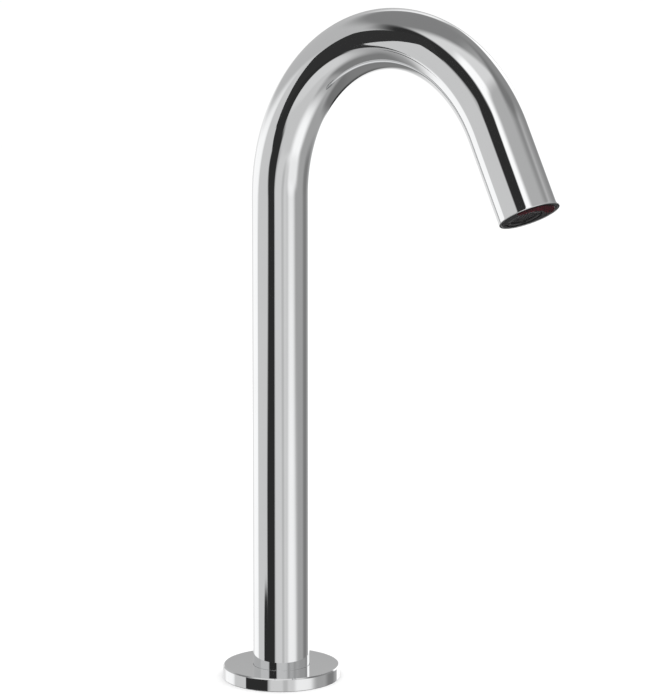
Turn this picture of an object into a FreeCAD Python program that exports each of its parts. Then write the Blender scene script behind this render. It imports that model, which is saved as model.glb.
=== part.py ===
import FreeCAD, Part
import math
import os

# A tall sensor tap for a counter-top basin. Millimetres, +Z up. The origin lies on the deck's plane, on the
# column's axis, and the spout reaches towards -Y, where the user stands.
#
# The pieces of the outlet are drawn in the outlet's own frame: its origin is the centre of the tube's open end,
# +Z points up into the tube, +Y points back at the column and -Y forward at the user.

Vector = FreeCAD.Vector

# ---- driving dimensions -------------------------------------------------------------------------------------

# Spout tube: column, arch and tip in one piece
TUBE_DIAMETER = 28.0
TUBE_WALL = 1.0
COLUMN_HEIGHT = 240.0           # from the deck to the start of the bend
BEND_RADIUS = 76.0              # at the tube's centre line
BEND_ANGLE = 153.0
TIP_LENGTH = 40.0               # straight, from the end of the bend to the outlet
TUBE_EDGE = 0.25                # chamfer on the open end

# Base flange
FLANGE_DIAMETER = 58.0
FLANGE_HEIGHT = 6.5
FLANGE_BEVEL = 0.6
FLANGE_FOOT_BEVEL = 0.3
LEDGE_HEIGHT = 2.0              # floor of the socket that the column stands on
FLANGE_RING_HEIGHT = 4.0        # middle of the O-ring's groove
FLANGE_RING_THICKNESS = 1.3
GASKET_INNER_DIAMETER = 40.0
GASKET_WIDTH = 6.0
GASKET_THICKNESS = 1.5

# Mounting shank and the bush that it screws into
SHANK_DIAMETER = 24.0           # M24 x 1.5
SHANK_BELOW_DECK = 63.0
SHANK_SPIGOT_DIAMETER = 20.0
SHANK_EDGE = 1.0
BUSH_HEIGHT = 22.0

# Clamp under the deck, shown on a deck of usual thickness
DECK_THICKNESS = 20.0
WASHER_DIAMETER = 48.0
RUBBER_WASHER_THICKNESS = 3.0
STEEL_WASHER_THICKNESS = 2.0
NUT_ACROSS_FLATS = 36.0
NUT_HEIGHT = 9.0
NUT_EDGE = 0.8

# Plug in the shank's lower end, with the water inlet and the lead's grommet
GUIDE_DEPTH = 10.0
GUIDE_WALL = 0.95               # outside the grommet
GUIDE_WEB = 0.4                 # between the inlet and the grommet
GUIDE_LIP_DIAMETER = 22.0
GUIDE_LIP_THICKNESS = 2.5
INLET_BODY_DIAMETER = 12.0      # also the inlet's width across flats
INLET_HEX_HEIGHT = 5.0
INLET_THREAD_DIAMETER = 8.92    # minor diameter of M10 x 1
INLET_THREAD_DEPTH = 9.0
GROMMET_DIAMETER = 4.4
GROMMET_LIP_DIAMETER = 5.2
GROMMET_LIP_THICKNESS = 1.5

# Water hose and sensor lead, side by side from the shank to the outlet
HOSE_DIAMETER = 8.0
HOSE_BORE = 5.5
LEAD_DIAMETER = 3.0
BARB_LENGTH = 10.0
BARB_BORE = 3.8
BARB_TEETH = 3
BARB_TOOTH_DEPTH = 0.35
FERRULE_WALL = 0.65
FERRULE_LENGTH = 8.5
FERRULE_SETBACK = 0.5           # from the hose's end

# Outlet head
HEAD_LENGTH = 26.0
HEAD_EDGE = 0.3
HEAD_RING_HEIGHT = 17.5         # middle of the O-ring's groove
HEAD_RING_THICKNESS = 0.9
BACK_WALL = 1.0                 # head's wall behind the aerator
CHAMBER_TOP = 12.0
PASSAGE_DIAMETER = 5.2
NIPPLE_THREAD_DIAMETER = 10.0
NIPPLE_THREAD_LENGTH = 7.5
NIPPLE_COLLAR_DIAMETER = 12.4
NIPPLE_COLLAR_HEIGHT = 3.0
NIPPLE_SEAL_THICKNESS = 1.0

# Aerator
AERATOR_DIAMETER = 16.5         # M16.5 x 1
AERATOR_RECESS = 0.3            # from the outlet's face
AERATOR_HEIGHT = 6.0
AERATOR_WALL = 1.25
AERATOR_LIP_WIDTH = 0.7
AERATOR_LIP_HEIGHT = 0.9
KEY_NOTCHES = 4
KEY_NOTCH_WIDTH = 2.0
KEY_NOTCH_DEPTH = 1.2
SCREEN_THICKNESS = 1.8
SCREEN_RIM_WIDTH = 0.7
SCREEN_RIM_HEIGHT = 3.0
CELL_PITCH = 1.75
CELL_WALL = 0.4
REGULATOR_THICKNESS = 1.8
REGULATOR_HOLE = 1.3            # across the flats of its six-sided holes
REGULATOR_INNER_HOLES = 4
REGULATOR_OUTER_HOLES = 9
SEAL_THICKNESS = 1.1
SEAL_WIDTH = 1.2
SEAT_WIDTH = 1.4                # of the step in the head that the seal closes on

# Sensor: a crescent pocket in the front of the head
WINDOW_THICKNESS = 2.2
WINDOW_PROUD = 0.3
WINDOW_CORNER = 0.8
POCKET_SHELL = 1.1              # head's wall outside the window
POCKET_WEB = 1.1                # head's wall between the window and the aerator
POCKET_LEDGE = 1.0              # the window rests on this step
POCKET_FRONT = 2.6              # horns of the crescent end this far in front of the centre line
UPPER_SHELL = 1.6               # head's wall outside the circuit board
BOARD_HEIGHT = 8.5              # from the outlet's face to the board
BOARD_THICKNESS = 1.2
DIODE_DIAMETER = 2.8
DIODE_LENGTH = 4.2
DIODE_SPACING = 8.4
DIODE_FOOT_DIAMETER = 3.1
DIODE_FOOT_THICKNESS = 0.6
CAP_HEIGHT = 4.7                # over the board
CAP_PLATE = 1.4
CAP_SKIRT = 0.8

# Set screw at the back of the tip
GRUB_DIAMETER = 3.0
GRUB_LENGTH = 4.6
GRUB_HEIGHT = 15.0              # from the outlet's face
GRUB_SINK = 0.4                 # below the tube's surface
GRUB_SOCKET_ACROSS_FLATS = 1.5
GRUB_SOCKET_DEPTH = 1.8

# Clearances
THREAD_GAP = 0.05               # between the two sides of a screwed or brazed joint, on the radius
SLIP_GAP = 0.1                  # between pieces that slide together, on the radius
LOOSE_GAP = 0.3                 # round a washer, or between a bore and what only passes through it
FACE_GAP = 0.05                 # between faces that turn or slide against each other
RING_GAP = 0.08                 # between an O-ring and the walls that it seals

RING_SIDES = 6                  # flat sides that draw the round cord of an O-ring

# ---- what follows from them ---------------------------------------------------------------------------------

TUBE_RADIUS = TUBE_DIAMETER / 2
TUBE_INSIDE = TUBE_RADIUS - TUBE_WALL
SHANK_RADIUS = SHANK_DIAMETER / 2
SHANK_END = -SHANK_BELOW_DECK
HEAD_RADIUS = TUBE_INSIDE - SLIP_GAP

# The hose and the lead lie side by side across the shank's bore, which is just wide enough for the ferrule, the
# lead and a gap on each side. Each keeps its distance from the centre line all the way to the outlet: the hose
# towards the inside of the bend, the lead towards its outside.
FERRULE_ACROSS_FLATS = HOSE_DIAMETER + 2 * (THREAD_GAP + FERRULE_WALL)
FERRULE_CORNER = FERRULE_ACROSS_FLATS / math.sqrt(3)
HOSE_TO_LEAD = INLET_BODY_DIAMETER / 2 + GROMMET_DIAMETER / 2 + 2 * THREAD_GAP + GUIDE_WEB
SHANK_BORE_RADIUS = (HOSE_TO_LEAD + 2 * LOOSE_GAP + FERRULE_CORNER + LEAD_DIAMETER / 2) / 2
HOSE_INSET = SHANK_BORE_RADIUS - LOOSE_GAP - FERRULE_CORNER
LEAD_OUTSET = SHANK_BORE_RADIUS - LOOSE_GAP - LEAD_DIAMETER / 2
GUIDE_RADIUS = LEAD_OUTSET + GROMMET_DIAMETER / 2 + THREAD_GAP + GUIDE_WALL
GUIDE_TOP = SHANK_END + GUIDE_DEPTH

HOSE_TIP_GAP = HEAD_LENGTH + NIPPLE_SEAL_THICKNESS + NIPPLE_COLLAR_HEIGHT
BARB_RADIUS = HOSE_BORE / 2 - THREAD_GAP
AERATOR_RADIUS = AERATOR_DIAMETER / 2
AERATOR_OFFSET = HEAD_RADIUS - BACK_WALL - AERATOR_RADIUS - THREAD_GAP   # from the tube's centre line
AERATOR_TOP = AERATOR_RECESS + AERATOR_HEIGHT
AERATOR_INSIDE = AERATOR_RADIUS - AERATOR_WALL
SCREEN_LOW = AERATOR_RECESS + AERATOR_LIP_HEIGHT
SCREEN_RADIUS = AERATOR_INSIDE - SLIP_GAP
CHAMBER_RADIUS = AERATOR_RADIUS - SEAT_WIDTH
SEAT_HEIGHT = AERATOR_TOP + 2 * FACE_GAP + SEAL_THICKNESS
BOARD_TOP = BOARD_HEIGHT + BOARD_THICKNESS

# The sensor's pocket keeps clear of the aerator and its chamber, and above them of the nipple
AERATOR_WELL = AERATOR_RADIUS + THREAD_GAP + POCKET_WEB
CHAMBER_WELL = CHAMBER_RADIUS + POCKET_WEB
BOARD_FRONT = NIPPLE_THREAD_DIAMETER / 2 + THREAD_GAP + POCKET_WEB - HOSE_INSET
LIGHT_SHELL = POCKET_SHELL + POCKET_LEDGE
LIGHT_WELL = AERATOR_WELL + POCKET_LEDGE / 2

BEND = math.radians(BEND_ANGLE)
OUTLET_CENTRE = Vector(
    0,
    -BEND_RADIUS * (1 - math.cos(BEND)) - TIP_LENGTH * math.sin(BEND),
    COLUMN_HEIGHT + BEND_RADIUS * math.sin(BEND) + TIP_LENGTH * math.cos(BEND),
)
OUTLET_PLACE = FreeCAD.Placement(OUTLET_CENTRE, FreeCAD.Rotation(Vector(1, 0, 0), BEND_ANGLE - 180))


# ---- shapes -------------------------------------------------------------------------------------------------


def rod(radius, low, high, y=0.0):
    """A round bar along Z."""
    return Part.makeCylinder(radius, high - low, Vector(0, y, low))


def ring(outer, inner, low, high, y=0.0):
    """A round tube along Z."""
    return rod(outer, low, high, y).cut(rod(inner, low, high, y))


def turned(outline, y=0.0):
    """A turned piece: its outline is a list of (radius, height) corners, turned about Z."""
    points = [Vector(radius, 0, height) for radius, height in outline]
    face = Part.Face(Part.makePolygon(points + points[:1]))
    solid = face.revolve(Vector(), Vector(0, 0, 1), 360)
    solid.translate(Vector(0, y, 0))
    return solid


def round_ring(radius, thickness, height):
    """An O-ring: the radius of its circle, its cord's thickness and the height of its middle."""
    outline = []
    for k in range(RING_SIDES):
        angle = 2 * math.pi * k / RING_SIDES
        outline.append((radius + thickness / 2 * math.cos(angle), height + thickness / 2 * math.sin(angle)))
    return turned(outline)


def hexagon(across_flats, low, high, x=0.0, y=0.0, turn=0.0):
    """A hexagonal bar along Z. With no turn its flats face +Y and -Y."""
    corner = across_flats / math.sqrt(3)
    points = []
    for k in range(6):
        angle = math.radians(60 * k + turn)
        points.append(Vector(x + corner * math.cos(angle), y + corner * math.sin(angle), low))
    face = Part.Face(Part.makePolygon(points + points[:1]))
    return face.extrude(Vector(0, 0, high - low))


def at_outlet(shape):
    """Moves a shape from the outlet's own frame to its place on the tap."""
    placed = shape.copy()
    placed.transformShape(OUTLET_PLACE.toMatrix())
    return placed


def along_spout(radius, inset, low, tip_gap):
    """A round bar that follows the spout: up the column from low, over the bend and down to tip_gap before the
    outlet. inset moves it from the centre line, towards the inside of the bend."""
    column = rod(radius, low, COLUMN_HEIGHT, y=-inset)
    start = Part.Wire(Part.makeCircle(radius, Vector(0, -inset, COLUMN_HEIGHT)))
    bend_axis = Vector(0, -BEND_RADIUS, COLUMN_HEIGHT)
    bend = Part.Face(start).revolve(bend_axis, Vector(1, 0, 0), BEND_ANGLE)
    tip = at_outlet(rod(radius, tip_gap, TIP_LENGTH, y=inset))
    return column.fuse([bend, tip]).removeSplitter()


def crescent(shell, well, front, low, high):
    """A block in the front of the head: shell is its gap from the head's outside, well the radius that it stays
    clear of round the aerator's axis, and front how far before the centre line its horns end."""
    width = 2 * HEAD_RADIUS
    block = rod(HEAD_RADIUS - shell, low, high)
    block = block.cut(rod(well, low, high, y=AERATOR_OFFSET))
    block = block.cut(Part.makeBox(width, width, high - low, Vector(-width / 2, -front, low)))
    corners = [edge for edge in block.Edges if abs(edge.BoundBox.ZLength - (high - low)) < 1e-6]
    return block.makeFillet(WINDOW_CORNER, corners)


# ---- column, flange and what clamps them to the deck ----------------------------------------------------------


def spout_tube():
    tube = along_spout(TUBE_RADIUS, 0, LEDGE_HEIGHT, 0)
    tube = tube.cut(along_spout(TUBE_INSIDE, 0, LEDGE_HEIGHT, 0))
    edge = turned([
        (TUBE_RADIUS - TUBE_EDGE, -TUBE_EDGE),
        (TUBE_RADIUS + TUBE_EDGE, -TUBE_EDGE),
        (TUBE_RADIUS + TUBE_EDGE, 2 * TUBE_EDGE),
        (TUBE_RADIUS, TUBE_EDGE),
        (TUBE_RADIUS - TUBE_EDGE, 0),
    ])
    screw_hole = Part.makeCylinder(
        GRUB_DIAMETER / 2 + SLIP_GAP, TUBE_RADIUS, Vector(0, HEAD_RADIUS - TUBE_WALL, GRUB_HEIGHT), Vector(0, 1, 0)
    )
    return tube.cut([at_outlet(edge), at_outlet(screw_hole)])


def base_flange():
    outside = FLANGE_DIAMETER / 2
    socket = TUBE_RADIUS + SLIP_GAP
    bore = SHANK_RADIUS + LOOSE_GAP
    flange = turned([
        (bore, 0),
        (outside - FLANGE_FOOT_BEVEL, 0),
        (outside, FLANGE_FOOT_BEVEL),
        (outside, FLANGE_HEIGHT - FLANGE_BEVEL),
        (outside - FLANGE_BEVEL, FLANGE_HEIGHT),
        (socket, FLANGE_HEIGHT),
        (socket, LEDGE_HEIGHT),
        (bore, LEDGE_HEIGHT),
    ])
    half = FLANGE_RING_THICKNESS / 2 + RING_GAP
    ring_groove = ring(
        TUBE_RADIUS + FLANGE_RING_THICKNESS + 2 * RING_GAP, TUBE_RADIUS, FLANGE_RING_HEIGHT - half,
        FLANGE_RING_HEIGHT + half
    )
    gasket_groove = ring(
        GASKET_INNER_DIAMETER / 2 + GASKET_WIDTH + SLIP_GAP, GASKET_INNER_DIAMETER / 2 - SLIP_GAP, 0,
        GASKET_THICKNESS
    )
    return flange.cut([ring_groove, gasket_groove])


def flange_o_ring():
    middle = TUBE_RADIUS + RING_GAP + FLANGE_RING_THICKNESS / 2
    return round_ring(middle, FLANGE_RING_THICKNESS, FLANGE_RING_HEIGHT)


def deck_gasket():
    inside = GASKET_INNER_DIAMETER / 2
    return ring(inside + GASKET_WIDTH, inside, 0, GASKET_THICKNESS)


def foot_bush():
    outside = TUBE_INSIDE - THREAD_GAP
    inside = SHANK_SPIGOT_DIAMETER / 2 + THREAD_GAP
    top = LEDGE_HEIGHT + BUSH_HEIGHT
    return turned([
        (inside, LEDGE_HEIGHT),
        (outside, LEDGE_HEIGHT),
        (outside, top - SHANK_EDGE),
        (outside - SHANK_EDGE, top),
        (inside, top),
    ])


def mounting_shank():
    spigot = SHANK_SPIGOT_DIAMETER / 2
    top = LEDGE_HEIGHT + BUSH_HEIGHT
    counterbore = GUIDE_RADIUS + SLIP_GAP
    return turned([
        (counterbore, SHANK_END),
        (SHANK_RADIUS - SHANK_EDGE, SHANK_END),
        (SHANK_RADIUS, SHANK_END + SHANK_EDGE),
        (SHANK_RADIUS, LEDGE_HEIGHT),
        (spigot, LEDGE_HEIGHT),
        (spigot, top),
        (SHANK_BORE_RADIUS, top),
        (SHANK_BORE_RADIUS, GUIDE_TOP),
        (counterbore, GUIDE_TOP),
    ])


def rubber_washer():
    top = -DECK_THICKNESS
    return ring(WASHER_DIAMETER / 2, SHANK_RADIUS + LOOSE_GAP, top - RUBBER_WASHER_THICKNESS, top)


def steel_washer():
    top = -DECK_THICKNESS - RUBBER_WASHER_THICKNESS
    return ring(WASHER_DIAMETER / 2, SHANK_RADIUS + LOOSE_GAP, top - STEEL_WASHER_THICKNESS, top)


def fixing_nut():
    top = -DECK_THICKNESS - RUBBER_WASHER_THICKNESS - STEEL_WASHER_THICKNESS - FACE_GAP
    low = top - NUT_HEIGHT
    corner = NUT_ACROSS_FLATS / math.sqrt(3)
    # the corners are turned off at both ends, as on any hexagon nut
    turned_blank = turned([
        (0, low),
        (corner - 2 * NUT_EDGE, low),
        (corner, low + NUT_EDGE),
        (corner, top - NUT_EDGE),
        (corner - 2 * NUT_EDGE, top),
        (0, top),
    ])
    nut = hexagon(NUT_ACROSS_FLATS, low, top).common(turned_blank)
    return nut.cut(rod(SHANK_RADIUS + THREAD_GAP, low, top))


# ---- water inlet and the lead's way out, in the shank's lower end ----------------------------------------------


def shank_end_guide():
    lip_low = SHANK_END - GUIDE_LIP_THICKNESS
    guide = rod(GUIDE_RADIUS, lip_low, GUIDE_TOP)
    guide = guide.fuse(rod(GUIDE_LIP_DIAMETER / 2, lip_low, SHANK_END)).removeSplitter()
    inlet_hole = rod(INLET_BODY_DIAMETER / 2 + THREAD_GAP, lip_low, GUIDE_TOP, y=-HOSE_INSET)
    grommet_hole = rod(GROMMET_DIAMETER / 2 + THREAD_GAP, lip_low, GUIDE_TOP, y=LEAD_OUTSET)
    return guide.cut([inlet_hole, grommet_hole])


def barb(base, length):
    """The outline of a hose barb, from its base upwards: its teeth lean against the hose's pull."""
    outline = []
    pitch = length / BARB_TEETH
    for k in range(BARB_TEETH):
        outline.append((BARB_RADIUS, base + k * pitch))
        outline.append((BARB_RADIUS - BARB_TOOTH_DEPTH, base + (k + 1) * pitch))
    return outline


def tail_connector():
    hex_low = SHANK_END - GUIDE_LIP_THICKNESS - INLET_HEX_HEIGHT
    body = INLET_BODY_DIAMETER / 2
    thread = INLET_THREAD_DIAMETER / 2
    thread_top = hex_low + INLET_THREAD_DEPTH
    stem = turned(
        [(thread, hex_low), (body, hex_low), (body, GUIDE_TOP)]
        + barb(GUIDE_TOP, BARB_LENGTH)
        + [(BARB_BORE / 2, GUIDE_TOP + BARB_LENGTH), (BARB_BORE / 2, thread_top), (thread, thread_top)],
        y=-HOSE_INSET,
    )
    flats = hexagon(INLET_BODY_DIAMETER, hex_low, hex_low + INLET_HEX_HEIGHT, y=-HOSE_INSET)
    flats = flats.cut(rod(thread, hex_low, thread_top, y=-HOSE_INSET))
    return stem.fuse(flats).removeSplitter()


def cable_grommet():
    lip_top = SHANK_END - GUIDE_LIP_THICKNESS
    hole = LEAD_DIAMETER / 2 + THREAD_GAP
    return turned([
        (hole, lip_top - GROMMET_LIP_THICKNESS),
        (GROMMET_LIP_DIAMETER / 2, lip_top - GROMMET_LIP_THICKNESS),
        (GROMMET_LIP_DIAMETER / 2, lip_top),
        (GROMMET_DIAMETER / 2, lip_top),
        (GROMMET_DIAMETER / 2, GUIDE_TOP),
        (hole, GUIDE_TOP),
    ], y=LEAD_OUTSET)


def water_hose():
    hose = along_spout(HOSE_DIAMETER / 2, HOSE_INSET, GUIDE_TOP, HOSE_TIP_GAP)
    return hose.cut(along_spout(HOSE_BORE / 2, HOSE_INSET, GUIDE_TOP, HOSE_TIP_GAP))


def sensor_lead():
    return along_spout(LEAD_DIAMETER / 2, -LEAD_OUTSET, SHANK_END, BOARD_TOP)


def ferrule(low, y):
    """A sleeve crimped on the hose to six flat sides."""
    sleeve = hexagon(FERRULE_ACROSS_FLATS, low, low + FERRULE_LENGTH, y=y)
    return sleeve.cut(rod(HOSE_DIAMETER / 2 + THREAD_GAP, low, low + FERRULE_LENGTH, y))


def hose_ferrules():
    lower = ferrule(GUIDE_TOP + FERRULE_SETBACK, -HOSE_INSET)
    upper = at_outlet(ferrule(HOSE_TIP_GAP + FERRULE_SETBACK, HOSE_INSET))
    return Part.makeCompound([lower, upper])


# ---- outlet head ----------------------------------------------------------------------------------------------


def head_nipple():
    collar_low = HEAD_LENGTH + NIPPLE_SEAL_THICKNESS
    thread = NIPPLE_THREAD_DIAMETER / 2
    low = HEAD_LENGTH - NIPPLE_THREAD_LENGTH + FACE_GAP
    collar = NIPPLE_COLLAR_DIAMETER / 2
    return at_outlet(turned(
        [(BARB_BORE / 2, low), (thread, low), (thread, collar_low), (collar, collar_low), (collar, HOSE_TIP_GAP)]
        + barb(HOSE_TIP_GAP, BARB_LENGTH)
        + [(BARB_BORE / 2, HOSE_TIP_GAP + BARB_LENGTH)],
        y=HOSE_INSET,
    ))


def nipple_seal():
    inside = NIPPLE_THREAD_DIAMETER / 2 + SLIP_GAP
    outside = NIPPLE_COLLAR_DIAMETER / 2 - SLIP_GAP
    return at_outlet(ring(outside, inside, HEAD_LENGTH, HEAD_LENGTH + NIPPLE_SEAL_THICKNESS, y=HOSE_INSET))


def outlet_head():
    head = turned([
        (0, 0),
        (HEAD_RADIUS - HEAD_EDGE, 0),
        (HEAD_RADIUS, HEAD_EDGE),
        (HEAD_RADIUS, HEAD_LENGTH - HEAD_EDGE),
        (HEAD_RADIUS - HEAD_EDGE, HEAD_LENGTH),
        (0, HEAD_LENGTH),
    ])
    aerator_bore = rod(AERATOR_RADIUS + THREAD_GAP, 0, SEAT_HEIGHT, y=AERATOR_OFFSET)
    chamber = rod(CHAMBER_RADIUS, SEAT_HEIGHT, CHAMBER_TOP, y=AERATOR_OFFSET)
    passage = rod(PASSAGE_DIAMETER / 2, CHAMBER_TOP, HEAD_LENGTH, y=HOSE_INSET)
    nipple_bore = rod(
        NIPPLE_THREAD_DIAMETER / 2 + THREAD_GAP, HEAD_LENGTH - NIPPLE_THREAD_LENGTH, HEAD_LENGTH, y=HOSE_INSET
    )
    window_seat = crescent(POCKET_SHELL, AERATOR_WELL, POCKET_FRONT, 0, WINDOW_THICKNESS)
    light_well = crescent(LIGHT_SHELL, LIGHT_WELL, POCKET_FRONT + POCKET_LEDGE / 2, WINDOW_THICKNESS, BOARD_HEIGHT)
    board_pocket = crescent(UPPER_SHELL, CHAMBER_WELL, BOARD_FRONT, BOARD_HEIGHT, HEAD_LENGTH)
    half = HEAD_RING_THICKNESS / 2 + RING_GAP
    ring_groove = ring(
        TUBE_RADIUS, TUBE_INSIDE - HEAD_RING_THICKNESS - 2 * RING_GAP, HEAD_RING_HEIGHT - half,
        HEAD_RING_HEIGHT + half
    )
    screw_hole = Part.makeCylinder(
        GRUB_DIAMETER / 2 + THREAD_GAP, HEAD_RADIUS,
        Vector(0, TUBE_RADIUS - GRUB_SINK - GRUB_LENGTH - FACE_GAP, GRUB_HEIGHT), Vector(0, 1, 0)
    )
    return at_outlet(head.cut([
        aerator_bore, chamber, passage, nipple_bore, window_seat, light_well, board_pocket, ring_groove, screw_hole
    ]))


def head_o_ring():
    middle = TUBE_INSIDE - RING_GAP - HEAD_RING_THICKNESS / 2
    return at_outlet(round_ring(middle, HEAD_RING_THICKNESS, HEAD_RING_HEIGHT))


def grub_screw():
    end = TUBE_RADIUS - GRUB_SINK
    screw = Part.makeCylinder(
        GRUB_DIAMETER / 2, GRUB_LENGTH, Vector(0, end - GRUB_LENGTH, GRUB_HEIGHT), Vector(0, 1, 0)
    )
    socket = hexagon(GRUB_SOCKET_ACROSS_FLATS, 0, GRUB_SOCKET_DEPTH)
    socket.rotate(Vector(), Vector(1, 0, 0), 90)
    socket.translate(Vector(0, end, GRUB_HEIGHT))
    return at_outlet(screw.cut(socket))


# ---- aerator --------------------------------------------------------------------------------------------------


def aerator_housing():
    lip = AERATOR_INSIDE - AERATOR_LIP_WIDTH
    housing = turned([
        (lip, AERATOR_RECESS),
        (AERATOR_RADIUS, AERATOR_RECESS),
        (AERATOR_RADIUS, AERATOR_TOP),
        (AERATOR_INSIDE, AERATOR_TOP),
        (AERATOR_INSIDE, SCREEN_LOW),
        (lip, SCREEN_LOW),
    ], y=AERATOR_OFFSET)
    notches = []
    for k in range(KEY_NOTCHES):
        notch = Part.makeBox(
            lip + KEY_NOTCH_DEPTH, KEY_NOTCH_WIDTH, AERATOR_LIP_HEIGHT,
            Vector(0, -KEY_NOTCH_WIDTH / 2, AERATOR_RECESS)
        )
        notch.rotate(Vector(), Vector(0, 0, 1), 360 / KEY_NOTCHES * (k + 0.5))
        notch.translate(Vector(0, AERATOR_OFFSET, 0))
        notches.append(notch)
    return at_outlet(housing.cut(notches))


def aerator_screen():
    web_top = SCREEN_LOW + SCREEN_THICKNESS
    inside = SCREEN_RADIUS - SCREEN_RIM_WIDTH
    screen = ring(SCREEN_RADIUS, inside, SCREEN_LOW, SCREEN_LOW + SCREEN_RIM_HEIGHT, y=AERATOR_OFFSET)
    screen = screen.fuse(rod(inside, SCREEN_LOW, web_top, y=AERATOR_OFFSET)).removeSplitter()
    # the honeycomb: every cell that lies whole inside the rim
    cell = CELL_PITCH - CELL_WALL
    reach = inside - CELL_WALL / 2 - cell / math.sqrt(3)
    rows = int(reach / (CELL_PITCH * math.sqrt(3) / 2))
    cells = []
    for row in range(-rows, rows + 1):
        y = row * CELL_PITCH * math.sqrt(3) / 2
        shift = CELL_PITCH / 2 * (row % 2)
        for column in range(-rows - 1, rows + 2):
            x = column * CELL_PITCH + shift
            if math.hypot(x, y) <= reach:
                cells.append(hexagon(cell, SCREEN_LOW, web_top, x, AERATOR_OFFSET + y, turn=30))
    return at_outlet(screen.cut(cells))


def flow_regulator():
    low = SCREEN_LOW + SCREEN_RIM_HEIGHT
    top = low + REGULATOR_THICKNESS
    disc = rod(SCREEN_RADIUS, low, top, y=AERATOR_OFFSET)
    holes = []
    for count, circle in ((REGULATOR_INNER_HOLES, SCREEN_RADIUS / 3), (REGULATOR_OUTER_HOLES, SCREEN_RADIUS * 0.7)):
        for k in range(count):
            angle = 360 * k / count
            hole = hexagon(REGULATOR_HOLE, low, top, circle)
            hole.rotate(Vector(), Vector(0, 0, 1), angle)
            hole.translate(Vector(0, AERATOR_OFFSET, 0))
            holes.append(hole)
    return at_outlet(disc.cut(holes))


def aerator_seal():
    outside = AERATOR_RADIUS - SLIP_GAP
    low = AERATOR_TOP + FACE_GAP
    return at_outlet(ring(outside, outside - SEAL_WIDTH, low, low + SEAL_THICKNESS, y=AERATOR_OFFSET))


# ---- sensor ---------------------------------------------------------------------------------------------------


def sensor_window():
    window = crescent(
        POCKET_SHELL + SLIP_GAP, AERATOR_WELL + SLIP_GAP, POCKET_FRONT + SLIP_GAP, -WINDOW_PROUD, WINDOW_THICKNESS
    )
    return at_outlet(window)


def sensor_board():
    return at_outlet(crescent(
        UPPER_SHELL + SLIP_GAP, CHAMBER_WELL + SLIP_GAP, BOARD_FRONT + SLIP_GAP, BOARD_HEIGHT, BOARD_TOP
    ))


def diode(x):
    """An infrared diode under the board: its foot, its barrel and its domed end that faces the window. It stands
    half way between the two curved walls of the light well."""
    behind = AERATOR_OFFSET - math.sqrt(LIGHT_WELL ** 2 - x ** 2)
    ahead = -math.sqrt((HEAD_RADIUS - LIGHT_SHELL) ** 2 - x ** 2)
    radius = DIODE_DIAMETER / 2
    dome = BOARD_HEIGHT - DIODE_LENGTH + radius
    body = rod(radius, dome, BOARD_HEIGHT)
    body = body.fuse([
        Part.makeSphere(radius, Vector(0, 0, dome)).cut(rod(DIODE_DIAMETER, dome, BOARD_HEIGHT)),
        rod(DIODE_FOOT_DIAMETER / 2, BOARD_HEIGHT - DIODE_FOOT_THICKNESS, BOARD_HEIGHT),
    ]).removeSplitter()
    body.translate(Vector(x, (behind + ahead) / 2, 0))
    return at_outlet(body)


def infrared_emitter():
    return diode(-DIODE_SPACING / 2)


def infrared_receiver():
    return diode(DIODE_SPACING / 2)


def sensor_cap():
    top = BOARD_TOP + CAP_HEIGHT
    cap = crescent(UPPER_SHELL + SLIP_GAP, CHAMBER_WELL + SLIP_GAP, BOARD_FRONT + SLIP_GAP, BOARD_TOP, top)
    inset = SLIP_GAP + CAP_SKIRT
    inside = crescent(UPPER_SHELL + inset, CHAMBER_WELL + inset, BOARD_FRONT + inset, BOARD_TOP, top - CAP_PLATE)
    lead_hole = rod(LEAD_DIAMETER / 2 + THREAD_GAP, BOARD_TOP, top, y=-LEAD_OUTSET)
    return at_outlet(cap.cut([inside, lead_hole]))


PIECES = (
    spout_tube, base_flange, flange_o_ring, deck_gasket, foot_bush, mounting_shank, rubber_washer, steel_washer,
    fixing_nut, shank_end_guide, tail_connector, cable_grommet, water_hose, sensor_lead, hose_ferrules, head_nipple,
    nipple_seal, outlet_head, head_o_ring, grub_screw, aerator_housing, aerator_screen, flow_regulator, aerator_seal,
    sensor_window, sensor_board, infrared_emitter, infrared_receiver, sensor_cap,
)

os.makedirs("parts", exist_ok=True)
for piece in PIECES:
    shape = piece()
    shape.exportStep("parts/" + piece.__name__ + ".step")
    print(piece.__name__, "valid" if shape.isValid() else "NOT VALID", len(shape.Solids), round(shape.Volume, 1))
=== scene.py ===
import math

import bmesh
import bpy
from mathutils import Matrix, Vector
from mathutils.geometry import tessellate_polygon


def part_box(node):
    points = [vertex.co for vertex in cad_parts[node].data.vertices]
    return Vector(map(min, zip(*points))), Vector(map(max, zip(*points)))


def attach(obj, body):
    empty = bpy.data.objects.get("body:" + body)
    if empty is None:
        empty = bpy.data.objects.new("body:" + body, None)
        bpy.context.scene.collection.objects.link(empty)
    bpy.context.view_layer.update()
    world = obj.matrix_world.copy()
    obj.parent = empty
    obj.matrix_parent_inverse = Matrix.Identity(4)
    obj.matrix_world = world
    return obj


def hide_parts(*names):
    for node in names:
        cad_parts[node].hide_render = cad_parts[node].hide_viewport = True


bl_info = {
    "name": "Sensor tap",
    "version": (1, 0, 0),
    "blender": (4, 5, 0),
    "location": "View3D > Sidebar > Sensor tap",
    "description": "Builds a tall sensor tap for a counter-top basin round its packed frame",
    "category": "Object",
}

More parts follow.
